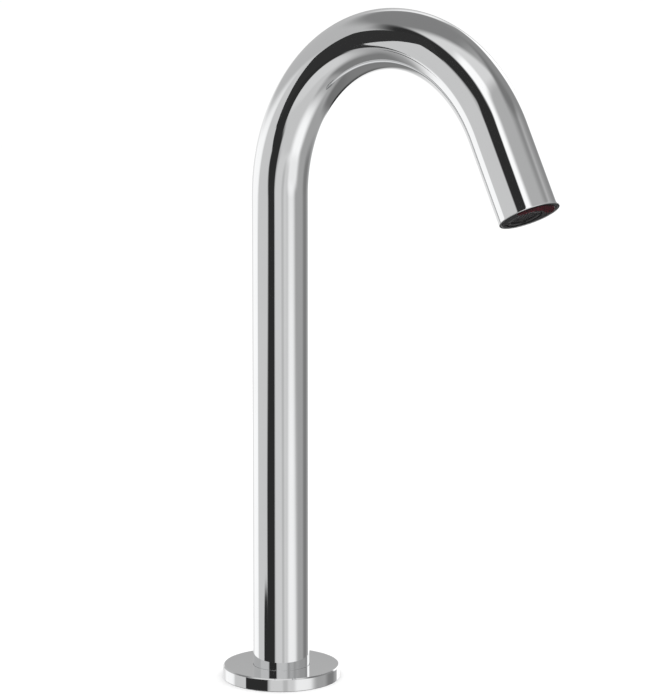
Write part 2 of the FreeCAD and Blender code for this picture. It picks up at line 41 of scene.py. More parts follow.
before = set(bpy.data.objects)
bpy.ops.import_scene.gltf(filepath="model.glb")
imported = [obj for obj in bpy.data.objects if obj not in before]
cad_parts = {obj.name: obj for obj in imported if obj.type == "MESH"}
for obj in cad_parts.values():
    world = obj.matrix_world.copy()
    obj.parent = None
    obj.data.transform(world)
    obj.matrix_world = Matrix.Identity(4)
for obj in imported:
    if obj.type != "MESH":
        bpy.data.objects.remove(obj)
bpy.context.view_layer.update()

MM = 0.001
TURN = 2 * math.pi
SAME_POINT = 1e-9           # two points of a ring that are closer than this are one
THREAD_DEPTH = 0.6134       # of a metric thread, in pitches

# ---- sizes that follow from the frame ------------------------------------------------------------


def reach(node):
    """Half the width of a node along X: the radius of a round piece."""
    low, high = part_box(node)
    return (high.x - low.x) / 2


def heights(node):
    """Lowest and highest Z of a node."""
    low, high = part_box(node)
    return low.z, high.z


TUBE_RADIUS = reach("spout_tube")
FLANGE_RADIUS = reach("base_flange")
LEDGE = heights("spout_tube")[0]
SHANK_RADIUS = reach("mounting_shank")
SHANK_LOW, SHANK_TOP = heights("mounting_shank")

# Places in the outlet: heights above its face, into the tube, and sizes of what two pieces share
AERATOR_SEAT = 7.5 * MM
CHAMBER_TOP = 12 * MM
HEAD_TOP = 26 * MM
WINDOW_TOP = 2.2 * MM
BOARD_LOW, BOARD_TOP = 8.5 * MM, 9.7 * MM
BOARD_SHELL, BOARD_WELL, BOARD_FRONT, BOARD_CORNER = 11.2 * MM, 8.05 * MM, 3.86 * MM, 0.8 * MM
LIGHT_SHELL, LIGHT_WELL, LIGHT_FRONT, LIGHT_CORNER = 10.8 * MM, 9.9 * MM, 3.1 * MM, 0.45 * MM


# ---- settings ------------------------------------------------------------------------------------


def length(name, description, default):
    """A length that a user can change, in metres."""
    return bpy.props.FloatProperty(
        name=name, description=description, default=default, min=0, precision=5, subtype="DISTANCE",
        unit="LENGTH"
    )


def colour(name, description, default):
    """A colour that a user can change."""
    return bpy.props.FloatVectorProperty(
        name=name, description=description, default=default, size=3, min=0, max=1, subtype="COLOR"
    )


class TapSpoutSizes(bpy.types.PropertyGroup):
    wall: length("Wall", "Thickness of the tube's wall", 1 * MM)
    bend_radius: length("Bend radius", "Radius of the arch, at the tube's centre line", 76 * MM)
    bend_angle: bpy.props.FloatProperty(
        name="Bend angle", description="Angle that the arch turns through", default=math.radians(153),
        subtype="ANGLE"
    )
    tip_length: length("Tip length", "Straight run from the arch to the outlet", 40 * MM)
    edge: length("Edge", "Rounding of the tube's open end", 0.25 * MM)
    screw_height: length("Set screw height", "From the outlet's face to the middle of the set screw", 15 * MM)


class TapOutletSizes(bpy.types.PropertyGroup):
    aerator_offset: length("Aerator offset", "From the tube's centre line to the aerator's", 3.6 * MM)
    thread_pitch: length("Aerator pitch", "Pitch of the aerator's thread", 1 * MM)
    cell_pitch: length("Cell pitch", "Between the middles of two cells of the screen", 1.75 * MM)
    cell_wall: length("Cell wall", "Thickness of the wall between two cells", 0.4 * MM)
    window_well: length("Window well", "Radius of the window's inner edge, about the aerator", 9.5 * MM)
    window_shell: length("Window shell", "Radius of the window's outer edge", 11.7 * MM)
    window_corner: length("Window corner", "Rounding of the window's four corners", 0.8 * MM)
    window_front: length("Window front", "The window's horns end this far before the centre line", 2.7 * MM)


class TapMountSizes(bpy.types.PropertyGroup):
    shank_pitch: length("Shank pitch", "Pitch of the shank's thread", 1.5 * MM)
    inlet_pitch: length("Inlet pitch", "Pitch of the inlet's thread", 1 * MM)
    hose_inset: length("Hose inset", "From the centre line to the hose, towards the user", 2.386 * MM)
    lead_outset: length("Lead outset", "From the centre line to the lead, away from the user", 6.314 * MM)


class TapFinishes(bpy.types.PropertyGroup):
    chrome: colour("Chrome", "Polished chrome plate", (0.81, 0.815, 0.82))
    brass: colour("Brass", "Machined brass under the deck", (0.78, 0.56, 0.27))
    stainless: colour("Stainless", "Washer, set screw and crimped sleeves", (0.60, 0.60, 0.59))
    rubber: colour("Rubber", "Gasket, washers, seals and grommet", (0.028, 0.028, 0.030))
    head: colour("Head plastic", "Moulded insert in the tube's end", (0.009, 0.0085, 0.0095))
    aerator: colour("Aerator plastic", "Aerator's housing and screen", (0.028, 0.027, 0.028))
    window: colour("Window", "Infrared-clear plastic over the sensor", (0.045, 0.003, 0.007))
    board: colour("Board", "Lacquered circuit board", (0.015, 0.14, 0.055))
    diode: colour("Diode", "Clear resin of the diodes", (0.62, 0.64, 0.72))
    hose: colour("Hose", "Water hose inside the tube", (0.78, 0.78, 0.75))
    lead: colour("Lead", "Sensor's lead", (0.025, 0.025, 0.027))


class TapStudio(bpy.types.PropertyGroup):
    floor: colour("Floor", "Plain pale floor", (0.93, 0.93, 0.93))
    ambient: bpy.props.FloatProperty(
        name="Ambient", description="Even light on matt surfaces", default=1.12, min=0
    )
    key_power: bpy.props.FloatProperty(
        name="Key light", description="Power of the large soft light", default=10, min=0, unit="POWER"
    )


class TapSettings(bpy.types.PropertyGroup):
    spout: bpy.props.PointerProperty(type=TapSpoutSizes)
    outlet: bpy.props.PointerProperty(type=TapOutletSizes)
    mount: bpy.props.PointerProperty(type=TapMountSizes)
    finishes: bpy.props.PointerProperty(type=TapFinishes)
    studio: bpy.props.PointerProperty(type=TapStudio)


# ---- meshes --------------------------------------------------------------------------------------


def solid(name, vertices, faces, sharp=30):
    """A closed mesh: doubles are merged, its faces look outwards, and it is smooth up to the sharp angle."""
    mesh = bpy.data.meshes.new(name)
    mesh.from_pydata(vertices, [], faces)
    shape = bmesh.new()
    shape.from_mesh(mesh)
    bmesh.ops.remove_doubles(shape, verts=shape.verts, dist=2e-7)
    bmesh.ops.dissolve_degenerate(shape, edges=shape.edges, dist=1e-8)
    bmesh.ops.recalc_face_normals(shape, faces=shape.faces)
    shape.to_mesh(mesh)
    shape.free()
    mesh.shade_smooth()
    mesh.set_sharp_from_angle(angle=math.radians(sharp))
    return mesh


def band(here, there):
    """The faces between two closed rings, each a run of vertex numbers."""
    count = len(here)
    return [(here[j], here[(j + 1) % count], there[(j + 1) % count], there[j]) for j in range(count)]


def bands(rings):
    """The faces between each ring and the next."""
    return [face for here, there in zip(rings, rings[1:]) for face in band(here, there)]


def added(vertices, points):
    """Adds points to the vertices, and gives the run of their numbers."""
    start = len(vertices)
    vertices.extend(points)
    return range(start, len(vertices))


def lofted(name, rings, wrap=False, sharp=30):
    """A mesh through rings that all have as many points. wrap joins the last ring to the first. Without it, an
    end ring is closed by one face, unless it has shrunk to a point."""
    vertices = []
    runs = [added(vertices, ring) for ring in rings]
    faces = bands(runs)
    if wrap:
        faces += band(runs[-1], runs[0])
    else:
        for run in (runs[0], runs[-1]):
            if math.dist(vertices[run[0]], vertices[run[1]]) > SAME_POINT:
                faces.append(tuple(run))
    return solid(name, vertices, faces, sharp)


def rounded(outline, steps=4):
    """A closed outline of corners (x, y) or (x, y, rounding), with an arc drawn in at each rounding."""
    drawn = []
    for k, corner in enumerate(outline):
        here = Vector(corner[:2])
        if len(corner) == 2 or corner[2] == 0:
            drawn.append(tuple(here))
            continue
        before = (Vector(outline[k - 1][:2]) - here).normalized()
        after = (Vector(outline[(k + 1) % len(outline)][:2]) - here).normalized()
        half = before.angle(after) / 2
        centre = here + (before + after).normalized() * corner[2] / math.sin(half)
        start = here + before * corner[2] / math.tan(half) - centre
        end = here + after * corner[2] / math.tan(half) - centre
        sweep = math.atan2(start.x * end.y - start.y * end.x, start.dot(end))
        for j in range(steps + 1):
            angle = sweep * j / steps
            drawn.append((
                centre.x + start.x * math.cos(angle) - start.y * math.sin(angle),
                centre.y + start.x * math.sin(angle) + start.y * math.cos(angle),
            ))
    return drawn


def circle(radius, y=0.0, count=96):
    """Points (x, y) round a circle, counter-clockwise."""
    return [
        (radius * math.cos(TURN * k / count), y + radius * math.sin(TURN * k / count)) for k in range(count)
    ]


def o_ring(radius, thickness, height, sides=20):
    """The outline of an O-ring, for turning."""
    return [(radius + x, z) for x, z in circle(thickness / 2, height, sides)]


def turned(name, outline, y=0.0, count=96, sharp=30):
    """A turned piece. Its outline is a closed list of (radius, height), or (radius, height, rounding). One that
    starts and ends on the axis makes a piece with no hole."""
    points = rounded(outline)
    solid_core = points[0][0] == 0 and points[-1][0] == 0
    rings = [[(*point, height) for point in circle(radius, y, count)] for radius, height in points]
    return lofted(name, rings, not solid_core, sharp)


def washer(name, inside, outside, low, top, soft, count=96, y=0.0):
    """A flat ring with four soft edges."""
    corners = ((inside, low), (outside, low), (outside, top), (inside, top))
    return turned(name, [(*corner, soft) for corner in corners], y, count)


def drill(name, radius, low, top, y, count):
    """A plain round cutter."""
    return turned(name, [(0, low), (radius, low), (radius, top), (0, top)], y, count)


def normals(loop):
    """The direction to the left of each point of a closed loop: into the material, for an outline that runs
    counter-clockwise and for a hole that runs clockwise."""
    found = []
    for k, point in enumerate(loop):
        along = Vector(loop[(k + 1) % len(loop)]) - Vector(point)
        back = Vector(point) - Vector(loop[k - 1])
        along.normalize()
        back.normalize()
        middle = along + back
        middle.normalize()
        # a sharp corner moves further, so that its sides move evenly
        stretch = 1 / max(0.5, middle.dot(along))
        found.append(Vector((-middle.y, middle.x)) * stretch)
    return found


def prism(name, loops, profiles, sharp=30):
    """An upright block. loops[0] is its outline, counter-clockwise, and the others are its holes, clockwise.
    Each loop has a profile from the bottom cap to the top cap, a list of (inset, height)."""
    vertices, faces = [], []
    caps = [], []
    for loop, profile in zip(loops, profiles):
        left = normals(loop)
        runs = []
        for inset, height in profile:
            runs.append(added(vertices, [
                (point[0] + direction.x * inset, point[1] + direction.y * inset, height)
                for point, direction in zip(loop, left)
            ]))
        faces += bands(runs)
        caps[0].append(runs[0])
        caps[1].append(runs[-1])
    for cap in caps:
        numbers = [index for ring in cap for index in ring]
        for triangle in tessellate_polygon([[Vector(vertices[index]) for index in ring] for ring in cap]):
            faces.append(tuple(numbers[corner] for corner in triangle))
    return solid(name, vertices, faces, sharp)


def quarter_round(steps):
    """A rounding from its start to its end: how far each point still has to go across, and how far it has come
    along, as shares of the radius."""
    angles = [math.pi / 2 * k / steps for k in range(steps + 1)]
    return [(1 - math.sin(angle), 1 - math.cos(angle)) for angle in angles]


def soft_edges(low, high, edge, steps=3):
    """A profile with both edges rounded."""
    arc = quarter_round(steps)
    profile = [(edge * across, low + edge * along) for across, along in arc]
    return profile + [(edge * along, high - edge * across) for across, along in arc]


def flared(low, high, edge, past, steps=3):
    """The profile of a cutter that rounds the mouth that it leaves at low, and reaches past it."""
    profile = [(-edge - past, low - past), (-edge, low)]
    profile += [(-edge * across, low + edge * along) for across, along in quarter_round(steps)[1:]]
    return profile + [(0.0, high)]


def hexagon_loop(across_flats, x=0.0, y=0.0, turn=0.0, corner=0.0, steps=2):
    """The outline of a hexagon, counter-clockwise, with rounded corners. With no turn, flats face +Y and -Y."""
    reach_out = across_flats / math.sqrt(3)
    points = []
    for k in range(6):
        angle = TURN * k / 6 + turn
        points.append((x + reach_out * math.cos(angle), y + reach_out * math.sin(angle), corner))
    return rounded(points, steps)


def crescent_loop(shell, well, front, corner, offset, count=48):
    """The outline of the sensor's pocket, counter-clockwise: between a circle about the centre line and one
    about the aerator's axis, and in front of a straight line."""
    outer_x = math.sqrt((shell - corner) ** 2 - (front + corner) ** 2)
    inner_x = math.sqrt((well + corner) ** 2 - (offset + front + corner) ** 2)
    level = -front - corner
    points = []

    def arc(centre, radius, start, end, steps):
        for k in range(steps + 1):
            angle = start + (end - start) * k / steps
            points.append((centre[0] + radius * math.cos(angle), centre[1] + radius * math.sin(angle)))

    lean = math.atan2(level, outer_x)
    dip = math.atan2(level - offset, inner_x)
    arc((0, 0), shell, -math.pi - lean, lean, count)
    arc((outer_x, level), corner, lean, math.pi / 2, 6)
    arc((inner_x, level), corner, math.pi / 2, math.pi + dip, 6)
    arc((0, offset), well, dip, -math.pi - dip, count)
    arc((-inner_x, level), corner, -dip, math.pi / 2, 6)
    arc((-outer_x, level), corner, math.pi / 2, math.pi - lean, 6)
    return cleaned(points)


def cleaned(points):
    """The points without any that repeats the one before it."""
    kept = []
    for point in points:
        if not kept or math.dist(kept[-1], point) > 1e-6:
            kept.append(point)
    if math.dist(kept[0], kept[-1]) <= 1e-6:
        kept.pop()
    return kept


def backwards(loop):
    """The loop of a hole: the same points, clockwise."""
    return loop[::-1]


def linked(name, data):
    """A new object in the scene."""
    thing = bpy.data.objects.new(name, data)
    bpy.context.scene.collection.objects.link(thing)
    return thing


def carved(mesh, cutters, operation="DIFFERENCE", sharp=30):
    """The mesh with other meshes cut away from it, or joined to it. The cutters are used up."""
    blank = linked("blank", mesh)
    tools = []
    for cutter in cutters:
        tool = linked("cutter", cutter)
        modifier = blank.modifiers.new("Cut", "BOOLEAN")
        modifier.operation = operation
        modifier.solver = "EXACT"
        modifier.object = tool
        tools.append(tool)
    bpy.context.view_layer.update()
    depsgraph = bpy.context.evaluated_depsgraph_get()
    result = bpy.data.meshes.new_from_object(blank.evaluated_get(depsgraph))
    result.name = mesh.name
    for thing in tools + [blank]:
        used = thing.data
        bpy.data.objects.remove(thing)
        bpy.data.meshes.remove(used)
    if not result.polygons:
        raise RuntimeError("nothing was left of " + result.name)
    result.shade_smooth()
    result.set_sharp_from_angle(angle=math.radians(sharp))
    return result


def thread_root(crest, pitch):
    """The radius at the bottom of a metric thread."""
    return crest - THREAD_DEPTH * pitch


def thread_rows(crest, root, pitch, low, high, ends, count, phase=0.0, grow=0.0):
    """Rows of points that follow a screw thread from low to high. Each row has count + 1 points, the last of
    which meets the row one turn further on. ends is the radius at both ends, where the thread is chamfered
    away, and an inner thread has its ends outside its crest."""
    # across one pitch: root flat, flank, crest flat, flank
    corners = ((0.0, root), (0.14, root), (0.44, crest), (0.56, crest), (0.86, root))
    inner = ends > max(crest, root) - 1e-9
    first = math.floor((low - phase) / pitch) - 1
    last = math.ceil((high - phase) / pitch) + 1
    rows = []
    for turn in range(first, last + 1):
        for share, radius in corners:
            row = []
            for j in range(count + 1):
                height = phase + pitch * (turn + share + j / count)
                z = min(max(height, low), high)
                gap = min(z - low, high - z)
                limit = ends - gap if inner else ends + gap
                r = max(radius + grow, limit) if inner else min(radius + grow, limit)
                angle = TURN * j / count
                row.append((r * math.cos(angle), r * math.sin(angle), z))
            rows.append(row)
    return rows


def threaded(name, rows, lower, upper, count, y=0.0, sharp=25):
    """A turned piece with a thread: rows of the thread, then the outlines that go on from its top end and come
    back to its low end, each a list of (radius, height)."""
    vertices, faces = [], []
    runs = [added(vertices, row) for row in rows]
    for here, there in zip(runs, runs[1:]):
        # a row goes on in the next turn, so its two ends aren't joined
        faces += band(here, there)[:-1]
    top, bottom = rows[-1][:count], rows[0][:count]
    ends = [(math.hypot(ring[0][0], ring[0][1]), ring[0][2]) for ring in (top, bottom)]
    rest = rounded(ends[:1] + upper + lower + ends[1:])[1:-1]
    chain = [(None, added(vertices, top))]
    for radius, height in rest:
        ring = [(*point, height) for point in circle(radius, count=count)]
        chain.append((radius, added(vertices, ring)))
    chain.append((None, added(vertices, bottom)))
    for (first, here), (second, there) in zip(chain, chain[1:]):
        # between two points on the axis there is nothing to close
        if first != 0 or second != 0:
            faces += band(here, there)
    return solid(name, [(x, y + dy, z) for x, dy, z in vertices], faces, sharp)


def add(name, mesh, nodes, body, finish, place=None, even=True):
    """Puts a mesh in the scene as a piece: it stands for CAD nodes, rides on a body and has a finish."""
    piece = linked(name, mesh)
    if place is not None:
        piece.matrix_world = place
    mesh.materials.clear()
    mesh.materials.append(finish)
    if even:
        # large faces keep their own direction, and only the small roundings turn
        modifier = piece.modifiers.new("Even shading", "WEIGHTED_NORMAL")
        modifier.keep_sharp = True
        modifier.weight = 50
    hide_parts(*nodes)
    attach(piece, body)
    return piece


def outlet_place(sizes):
    """From the outlet's own frame to the tap's. The outlet's origin is the centre of the tube's open end, its
    +Z points up into the tube and its +Y back at the column."""
    bend = sizes.bend_angle
    column = column_height(sizes)
    centre = Vector((
        0,
        -sizes.bend_radius * (1 - math.cos(bend)) - sizes.tip_length * math.sin(bend),
        column + sizes.bend_radius * math.sin(bend) + sizes.tip_length * math.cos(bend),
    ))
    return Matrix.Translation(centre) @ Matrix.Rotation(bend - math.pi, 4, "X")


def column_height(sizes):
    """From the deck to the start of the bend."""
    return heights("spout_tube")[1] - TUBE_RADIUS - sizes.bend_radius


def spine(sizes, s):
    """The tube's centre line, at a distance s from the outlet: a point on it and the direction to the outside
    of the bend."""
    bend = sizes.bend_angle
    column = column_height(sizes)
    arc = sizes.bend_radius * bend
    if s < sizes.tip_length:
        angle, rest = bend, sizes.tip_length - s
    elif s < sizes.tip_length + arc:
        angle, rest = bend - (s - sizes.tip_length) / sizes.bend_radius, 0.0
    else:
        angle, rest = 0.0, sizes.tip_length + arc - s
    along = Vector((0, -math.sin(angle), math.cos(angle)))
    outwards = Vector((0, math.cos(angle), math.sin(angle)))
    on_arc = Vector((
        0, -sizes.bend_radius * (1 - math.cos(angle)), column + sizes.bend_radius * math.sin(angle)
    ))
    return on_arc + along * rest, outwards


def stations(sizes, start, low, step=1.5):
    """Distances along the centre line from start, near the outlet, to the height low in the column: every few
    degrees over the bend, and a few on the straights."""
    arc = sizes.bend_radius * sizes.bend_angle
    top = sizes.tip_length + arc
    foot = top + column_height(sizes) - low
    tip_rows, bend_rows, column_rows = 6, round(math.degrees(sizes.bend_angle) / step), 12
    places = [start + (sizes.tip_length - start) * k / tip_rows for k in range(tip_rows)]
    places += [sizes.tip_length + arc * k / bend_rows for k in range(bend_rows + 1)]
    places += [top + (foot - top) * k / column_rows for k in range(1, column_rows + 1)]
    return places


def ring_at(sizes, s, radius, count, inset=0.0):
    """A ring of points round the centre line, or round a line moved from it towards the inside of the bend."""
    middle, outwards = spine(sizes, s)
    middle = middle - outwards * inset
    sideways = Vector((1, 0, 0))
    return [tuple(middle + sideways * x + outwards * y) for x, y in circle(radius, count=count)]


# ---- node trees ----------------------------------------------------------------------------------


def put(tree, kind, inputs=None, **settings):
    """A node. inputs holds a value or another node's output for each input socket."""
    made = tree.nodes.new(kind)
    for name, value in settings.items():
        setattr(made, name, value)
    for socket, value in (inputs or {}).items():
        if isinstance(value, bpy.types.NodeSocket):
            tree.links.new(value, made.inputs[socket])
        else:
            made.inputs[socket].default_value = value
    return made


def maths(tree, operation, first, second=0.0, third=0.0):
    """The result of a Math node."""
    return put(tree, "ShaderNodeMath", {0: first, 1: second, 2: third}, operation=operation).outputs[0]


def mixed(tree, share, first, second):
    """The colour between two colours."""
    return put(tree, "ShaderNodeMix", {0: share, 6: first, 7: second}, data_type="RGBA").outputs[2]


def grey_between(tree, share, first, second):
    """The brightness between two brightnesses."""
    return put(tree, "ShaderNodeMix", {0: share, 2: first, 3: second}, data_type="FLOAT").outputs[0]


def between(tree, share, low, high):
    """The value between two values."""
    return put(tree, "ShaderNodeMapRange", {"Value": share, "To Min": low, "To Max": high}).outputs[0]


def masked(tree, value, start, end):
    """A soft mask: 0 up to start, 1 from end on."""
    return put(tree, "ShaderNodeMapRange", {
        "Value": value, "From Min": start, "From Max": end,
    }, interpolation_type="SMOOTHSTEP").outputs[0]


def noise(tree, scale, **more):
    """Noise over the surface, in the piece's own space. more holds the node's other inputs."""
    place = put(tree, "ShaderNodeTexCoord").outputs["Object"]
    return put(tree, "ShaderNodeTexNoise", {"Vector": place, "Scale": scale, **more}).outputs["Fac"]


def group_of(name, inputs, outputs, fill):
    """A node group, made once. inputs and outputs are lists of (name, socket type, default)."""
    group = bpy.data.node_groups.get(name)
    if group:
        return group
    group = bpy.data.node_groups.new(name, "ShaderNodeTree")
    for label, kind, default in inputs:
        socket = group.interface.new_socket(label, in_out="INPUT", socket_type=kind)
        if default is not None:
            socket.default_value = default
    for label, kind in outputs:
        group.interface.new_socket(label, in_out="OUTPUT", socket_type=kind)
    fill(group, group.nodes.new("NodeGroupInput").outputs, group.nodes.new("NodeGroupOutput").inputs)
    return group


FLOAT = "NodeSocketFloat"
VECTOR = "NodeSocketVector"


def fill_card(tree, given, out):
    """One soft-edged patch of the studio: Light is what was there before, and Level what the patch puts there.
    The patch is a superellipse in angles across and up from its middle."""

    def dot(other):
        return put(
            tree, "ShaderNodeVectorMath", {0: given["Direction"], 1: other}, operation="DOT_PRODUCT"
        ).outputs["Value"]

    across = maths(tree, "ARCTAN2", dot(given["Across"]), dot(given["Facing"]))
    upward = maths(tree, "ARCSINE", dot(given["Upward"]))
    cosine, sine = maths(tree, "COSINE", given["Roll"]), maths(tree, "SINE", given["Roll"])
    along_width = maths(
        tree, "ADD", maths(tree, "MULTIPLY", across, cosine), maths(tree, "MULTIPLY", upward, sine)
    )
    along_height = maths(
        tree, "SUBTRACT", maths(tree, "MULTIPLY", upward, cosine), maths(tree, "MULTIPLY", across, sine)
    )
    powers = []
    for value, half in ((along_width, given["Half width"]), (along_height, given["Half height"])):
        share = maths(tree, "ABSOLUTE", maths(tree, "DIVIDE", value, half))
        powers.append(maths(tree, "POWER", share, given["Squareness"]))
    root = maths(tree, "DIVIDE", 1.0, given["Squareness"])
    distance = maths(tree, "POWER", maths(tree, "ADD", *powers), root)
    outside, inside = maths(tree, "ADD", 1.0, given["Edge"]), maths(tree, "SUBTRACT", 1.0, given["Edge"])
    light = grey_between(tree, masked(tree, distance, outside, inside), given["Light"], given["Level"])
    tree.links.new(light, out["Light"])


def card_group():
    """The group that places one patch of the studio."""
    return group_of("Studio card", [
        ("Light", FLOAT, 0.0), ("Direction", VECTOR, None), ("Facing", VECTOR, None), ("Across", VECTOR, None),
        ("Upward", VECTOR, None), ("Half width", FLOAT, 1.0), ("Half height", FLOAT, 1.0), ("Roll", FLOAT, 0.0),
        ("Squareness", FLOAT, 4.0), ("Edge", FLOAT, 0.2), ("Level", FLOAT, 1.0),
    ], [("Light", FLOAT)], fill_card)


def fill_grain(tree, given, out):
    """Fine grain and broad patches over a surface."""
    fine = noise(tree, given["Grain scale"], Detail=3.0, Roughness=0.55)
    broad = noise(tree, given["Patch scale"], Detail=4.0, Roughness=0.6, Distortion=0.4)
    tree.links.new(fine, out["Grain"])
    tree.links.new(masked(tree, broad, 0.35, 0.68), out["Patches"])


def grain_group():
    """The group that gives a finish its grain and patches."""
    return group_of("Grain and patches", [
        ("Grain scale", FLOAT, 4000.0), ("Patch scale", FLOAT, 60.0),
    ], [("Grain", FLOAT), ("Patches", FLOAT)], fill_grain)


def fill_wear(tree, given, out):
    """Bright worn edges, broken up by noise, and dust in the hollows."""
    # 0.5 on a flat surface, more on an edge and less in a hollow
    sharpness = put(tree, "ShaderNodeNewGeometry").outputs["Pointiness"]
    edges = masked(tree, sharpness, 0.515, 0.60)
    hollows = masked(tree, sharpness, 0.485, 0.42)
    broken = noise(tree, given["Scale"], Detail=5.0)
    share = put(tree, "ShaderNodeMapRange", {"Value": broken, "From Min": 0.3, "From Max": 0.65}).outputs[0]
    worn = maths(tree, "MULTIPLY", maths(tree, "MULTIPLY", edges, share), given["Wear"])
    tree.links.new(worn, out["Edges"])
    tree.links.new(maths(tree, "MULTIPLY", hollows, given["Dust"]), out["Hollows"])


def wear_group():
    """The group that wears a finish at its edges."""
    return group_of("Edge wear", [
        ("Scale", FLOAT, 300.0), ("Wear", FLOAT, 0.5), ("Dust", FLOAT, 0.3),
    ], [("Edges", FLOAT), ("Hollows", FLOAT)], fill_wear)


def fill_lathe(tree, given, out):
    """Fine grooves left by turning, round the piece's own Z axis: rings on faces, lines round the sides."""
    place = put(tree, "ShaderNodeTexCoord").outputs["Object"]
    parts = put(tree, "ShaderNodeSeparateXYZ", {0: place}).outputs
    squares = [maths(tree, "MULTIPLY", parts[axis], parts[axis]) for axis in ("X", "Y")]
    radius = maths(tree, "SQRT", maths(tree, "ADD", *squares))
    spread = put(tree, "ShaderNodeCombineXYZ", {
        "X": maths(tree, "MULTIPLY", radius, given["Scale"]),
        "Y": maths(tree, "MULTIPLY", parts["Z"], given["Scale"]),
    }).outputs[0]
    grooves = put(tree, "ShaderNodeTexNoise", {"Vector": spread, "Scale": 1.0, "Detail": 2.0}).outputs["Fac"]
    tree.links.new(grooves, out["Grooves"])


def lathe_group():
    """The group that gives a finish its turning grooves."""
    return group_of("Turning grooves", [("Scale", FLOAT, 6000.0)], [("Grooves", FLOAT)], fill_lathe)


def new_finish(name):
    """A new material and its shader."""
    finish = bpy.data.materials.new(name)
    finish.use_nodes = True
    return finish, next(node for node in finish.node_tree.nodes if node.type == "BSDF_PRINCIPLED")


def finish_it(tree, shader, tint, gloss, height, strength, depth):
    """Gives a shader its colour, its roughness and, where it has any, the bumps of a height map."""
    tree.links.new(tint, shader.inputs["Base Color"])
    tree.links.new(gloss, shader.inputs["Roughness"])
    if strength:
        bumped = put(tree, "ShaderNodeBump", {"Strength": strength, "Distance": depth, "Height": height})
        tree.links.new(bumped.outputs[0], shader.inputs["Normal"])


def solid_colour(value, factor=1.0):
    """A colour as a node takes it, made lighter or darker by a factor."""
    return (*(min(1.0, part * factor) for part in value), 1)


def surface(
    name, colour_value, roughness, metallic=0.0, grain=3000.0, patches=60.0, bump=0.02, depth=0.00002,
    spread=0.08, shade=0.85, wear=0.0, wear_colour=(0, 0, 0), dust=0.0, dust_colour=(0.35, 0.34, 0.32),
    grooves=0.0, groove_scale=6000.0, specular=0.5, transmission=0.0, ior=1.5,
):
    """A finish, made once, with fine grain, uneven gloss and colour, worn edges, dust and turning marks, in
    given amounts. grain, patches and groove_scale are counts to the metre, and depth is the height of the
    bumps."""
    made = bpy.data.materials.get(name)
    if made:
        return made
    finish, shader = new_finish(name)
    tree = finish.node_tree
    texture = put(
        tree, "ShaderNodeGroup", {"Grain scale": grain, "Patch scale": patches}, node_tree=grain_group()
    ).outputs
    tint = mixed(tree, texture["Patches"], solid_colour(colour_value), solid_colour(colour_value, shade))
    gloss = between(tree, texture["Patches"], max(0.0, roughness - spread / 2), roughness + spread / 2)
    if wear or dust:
        worn = put(tree, "ShaderNodeGroup", {"Wear": wear, "Dust": dust}, node_tree=wear_group()).outputs
        tint = mixed(tree, worn["Edges"], tint, solid_colour(wear_colour))
        tint = mixed(tree, worn["Hollows"], tint, solid_colour(dust_colour))
    height = texture["Grain"]
    if grooves:
        marks = put(tree, "ShaderNodeGroup", {"Scale": groove_scale}, node_tree=lathe_group()).outputs
        height = maths(tree, "ADD", height, maths(tree, "MULTIPLY", marks["Grooves"], grooves))
    finish_it(tree, shader, tint, gloss, height, bump, depth)
    shader.inputs["Metallic"].default_value = metallic
    shader.inputs["Specular IOR Level"].default_value = specular
    shader.inputs["Transmission Weight"].default_value = transmission
    shader.inputs["IOR"].default_value = ior
    return finish


def chrome_finish(look):
    """Mirror chrome: almost no grain, with faint dry water marks that only soften the gloss a little."""
    return surface(
        "Polished chrome", look.chrome, 0.035, metallic=1.0, grain=900.0, patches=24.0, bump=0.012,
        depth=0.000004, spread=0.03, shade=0.985
    )


def brass_finish(look):
    """Turned brass, a little tarnished, with bright edges."""
    return surface(
        "Machined brass", look.brass, 0.30, metallic=1.0, grain=2500.0, patches=90.0, bump=0.35, spread=0.14,
        shade=0.80, wear=0.5, wear_colour=(0.92, 0.74, 0.42), dust=0.5, dust_colour=(0.20, 0.12, 0.05),
        grooves=1.2, groove_scale=9000.0
    )


def steel_finish(look):
    """Stainless steel with fine turning marks."""
    return surface(
        "Stainless steel", look.stainless, 0.28, metallic=1.0, grain=4000.0, patches=120.0, bump=0.3,
        spread=0.12, shade=0.86, wear=0.4, wear_colour=(0.8, 0.8, 0.8), grooves=1.0, groove_scale=12000.0
    )


def rubber_finish(look):
    """Black rubber with a matt bloom."""
    return surface(
        "Black rubber", look.rubber, 0.62, grain=5000.0, patches=150.0, bump=0.5, spread=0.16, shade=1.5,
        wear=0.5, wear_colour=(0.07, 0.07, 0.072), dust=0.4, dust_colour=(0.10, 0.098, 0.094)
    )


def head_finish(look):
    """Hard black plastic with a fine moulded grain."""
    return surface(
        "Moulded black", look.head, 0.38, grain=6000.0, patches=220.0, bump=0.35, spread=0.10, shade=1.35,
        wear=0.35, wear_colour=(0.035, 0.033, 0.034), dust=0.3, dust_colour=(0.03, 0.028, 0.027), specular=0.25
    )


def aerator_finish(look):
    """The aerator's plastic, a shade lighter than the head's."""
    return surface(
        "Aerator plastic", look.aerator, 0.32, grain=7000.0, patches=260.0, bump=0.3, spread=0.10, shade=1.3,
        wear=0.4, wear_colour=(0.06, 0.057, 0.059), dust=0.25, dust_colour=(0.08, 0.077, 0.074), specular=0.3
    )


def hose_finish(look):
    """The hose's smooth off-white plastic."""
    return surface(
        "White hose", look.hose, 0.42, grain=3500.0, patches=90.0, bump=0.25, spread=0.12, shade=0.93
    )


def lead_finish(look):
    """The lead's black sheath."""
    return surface(
        "Black lead", look.lead, 0.45, grain=5000.0, patches=160.0, bump=0.4, spread=0.12, shade=1.4
    )


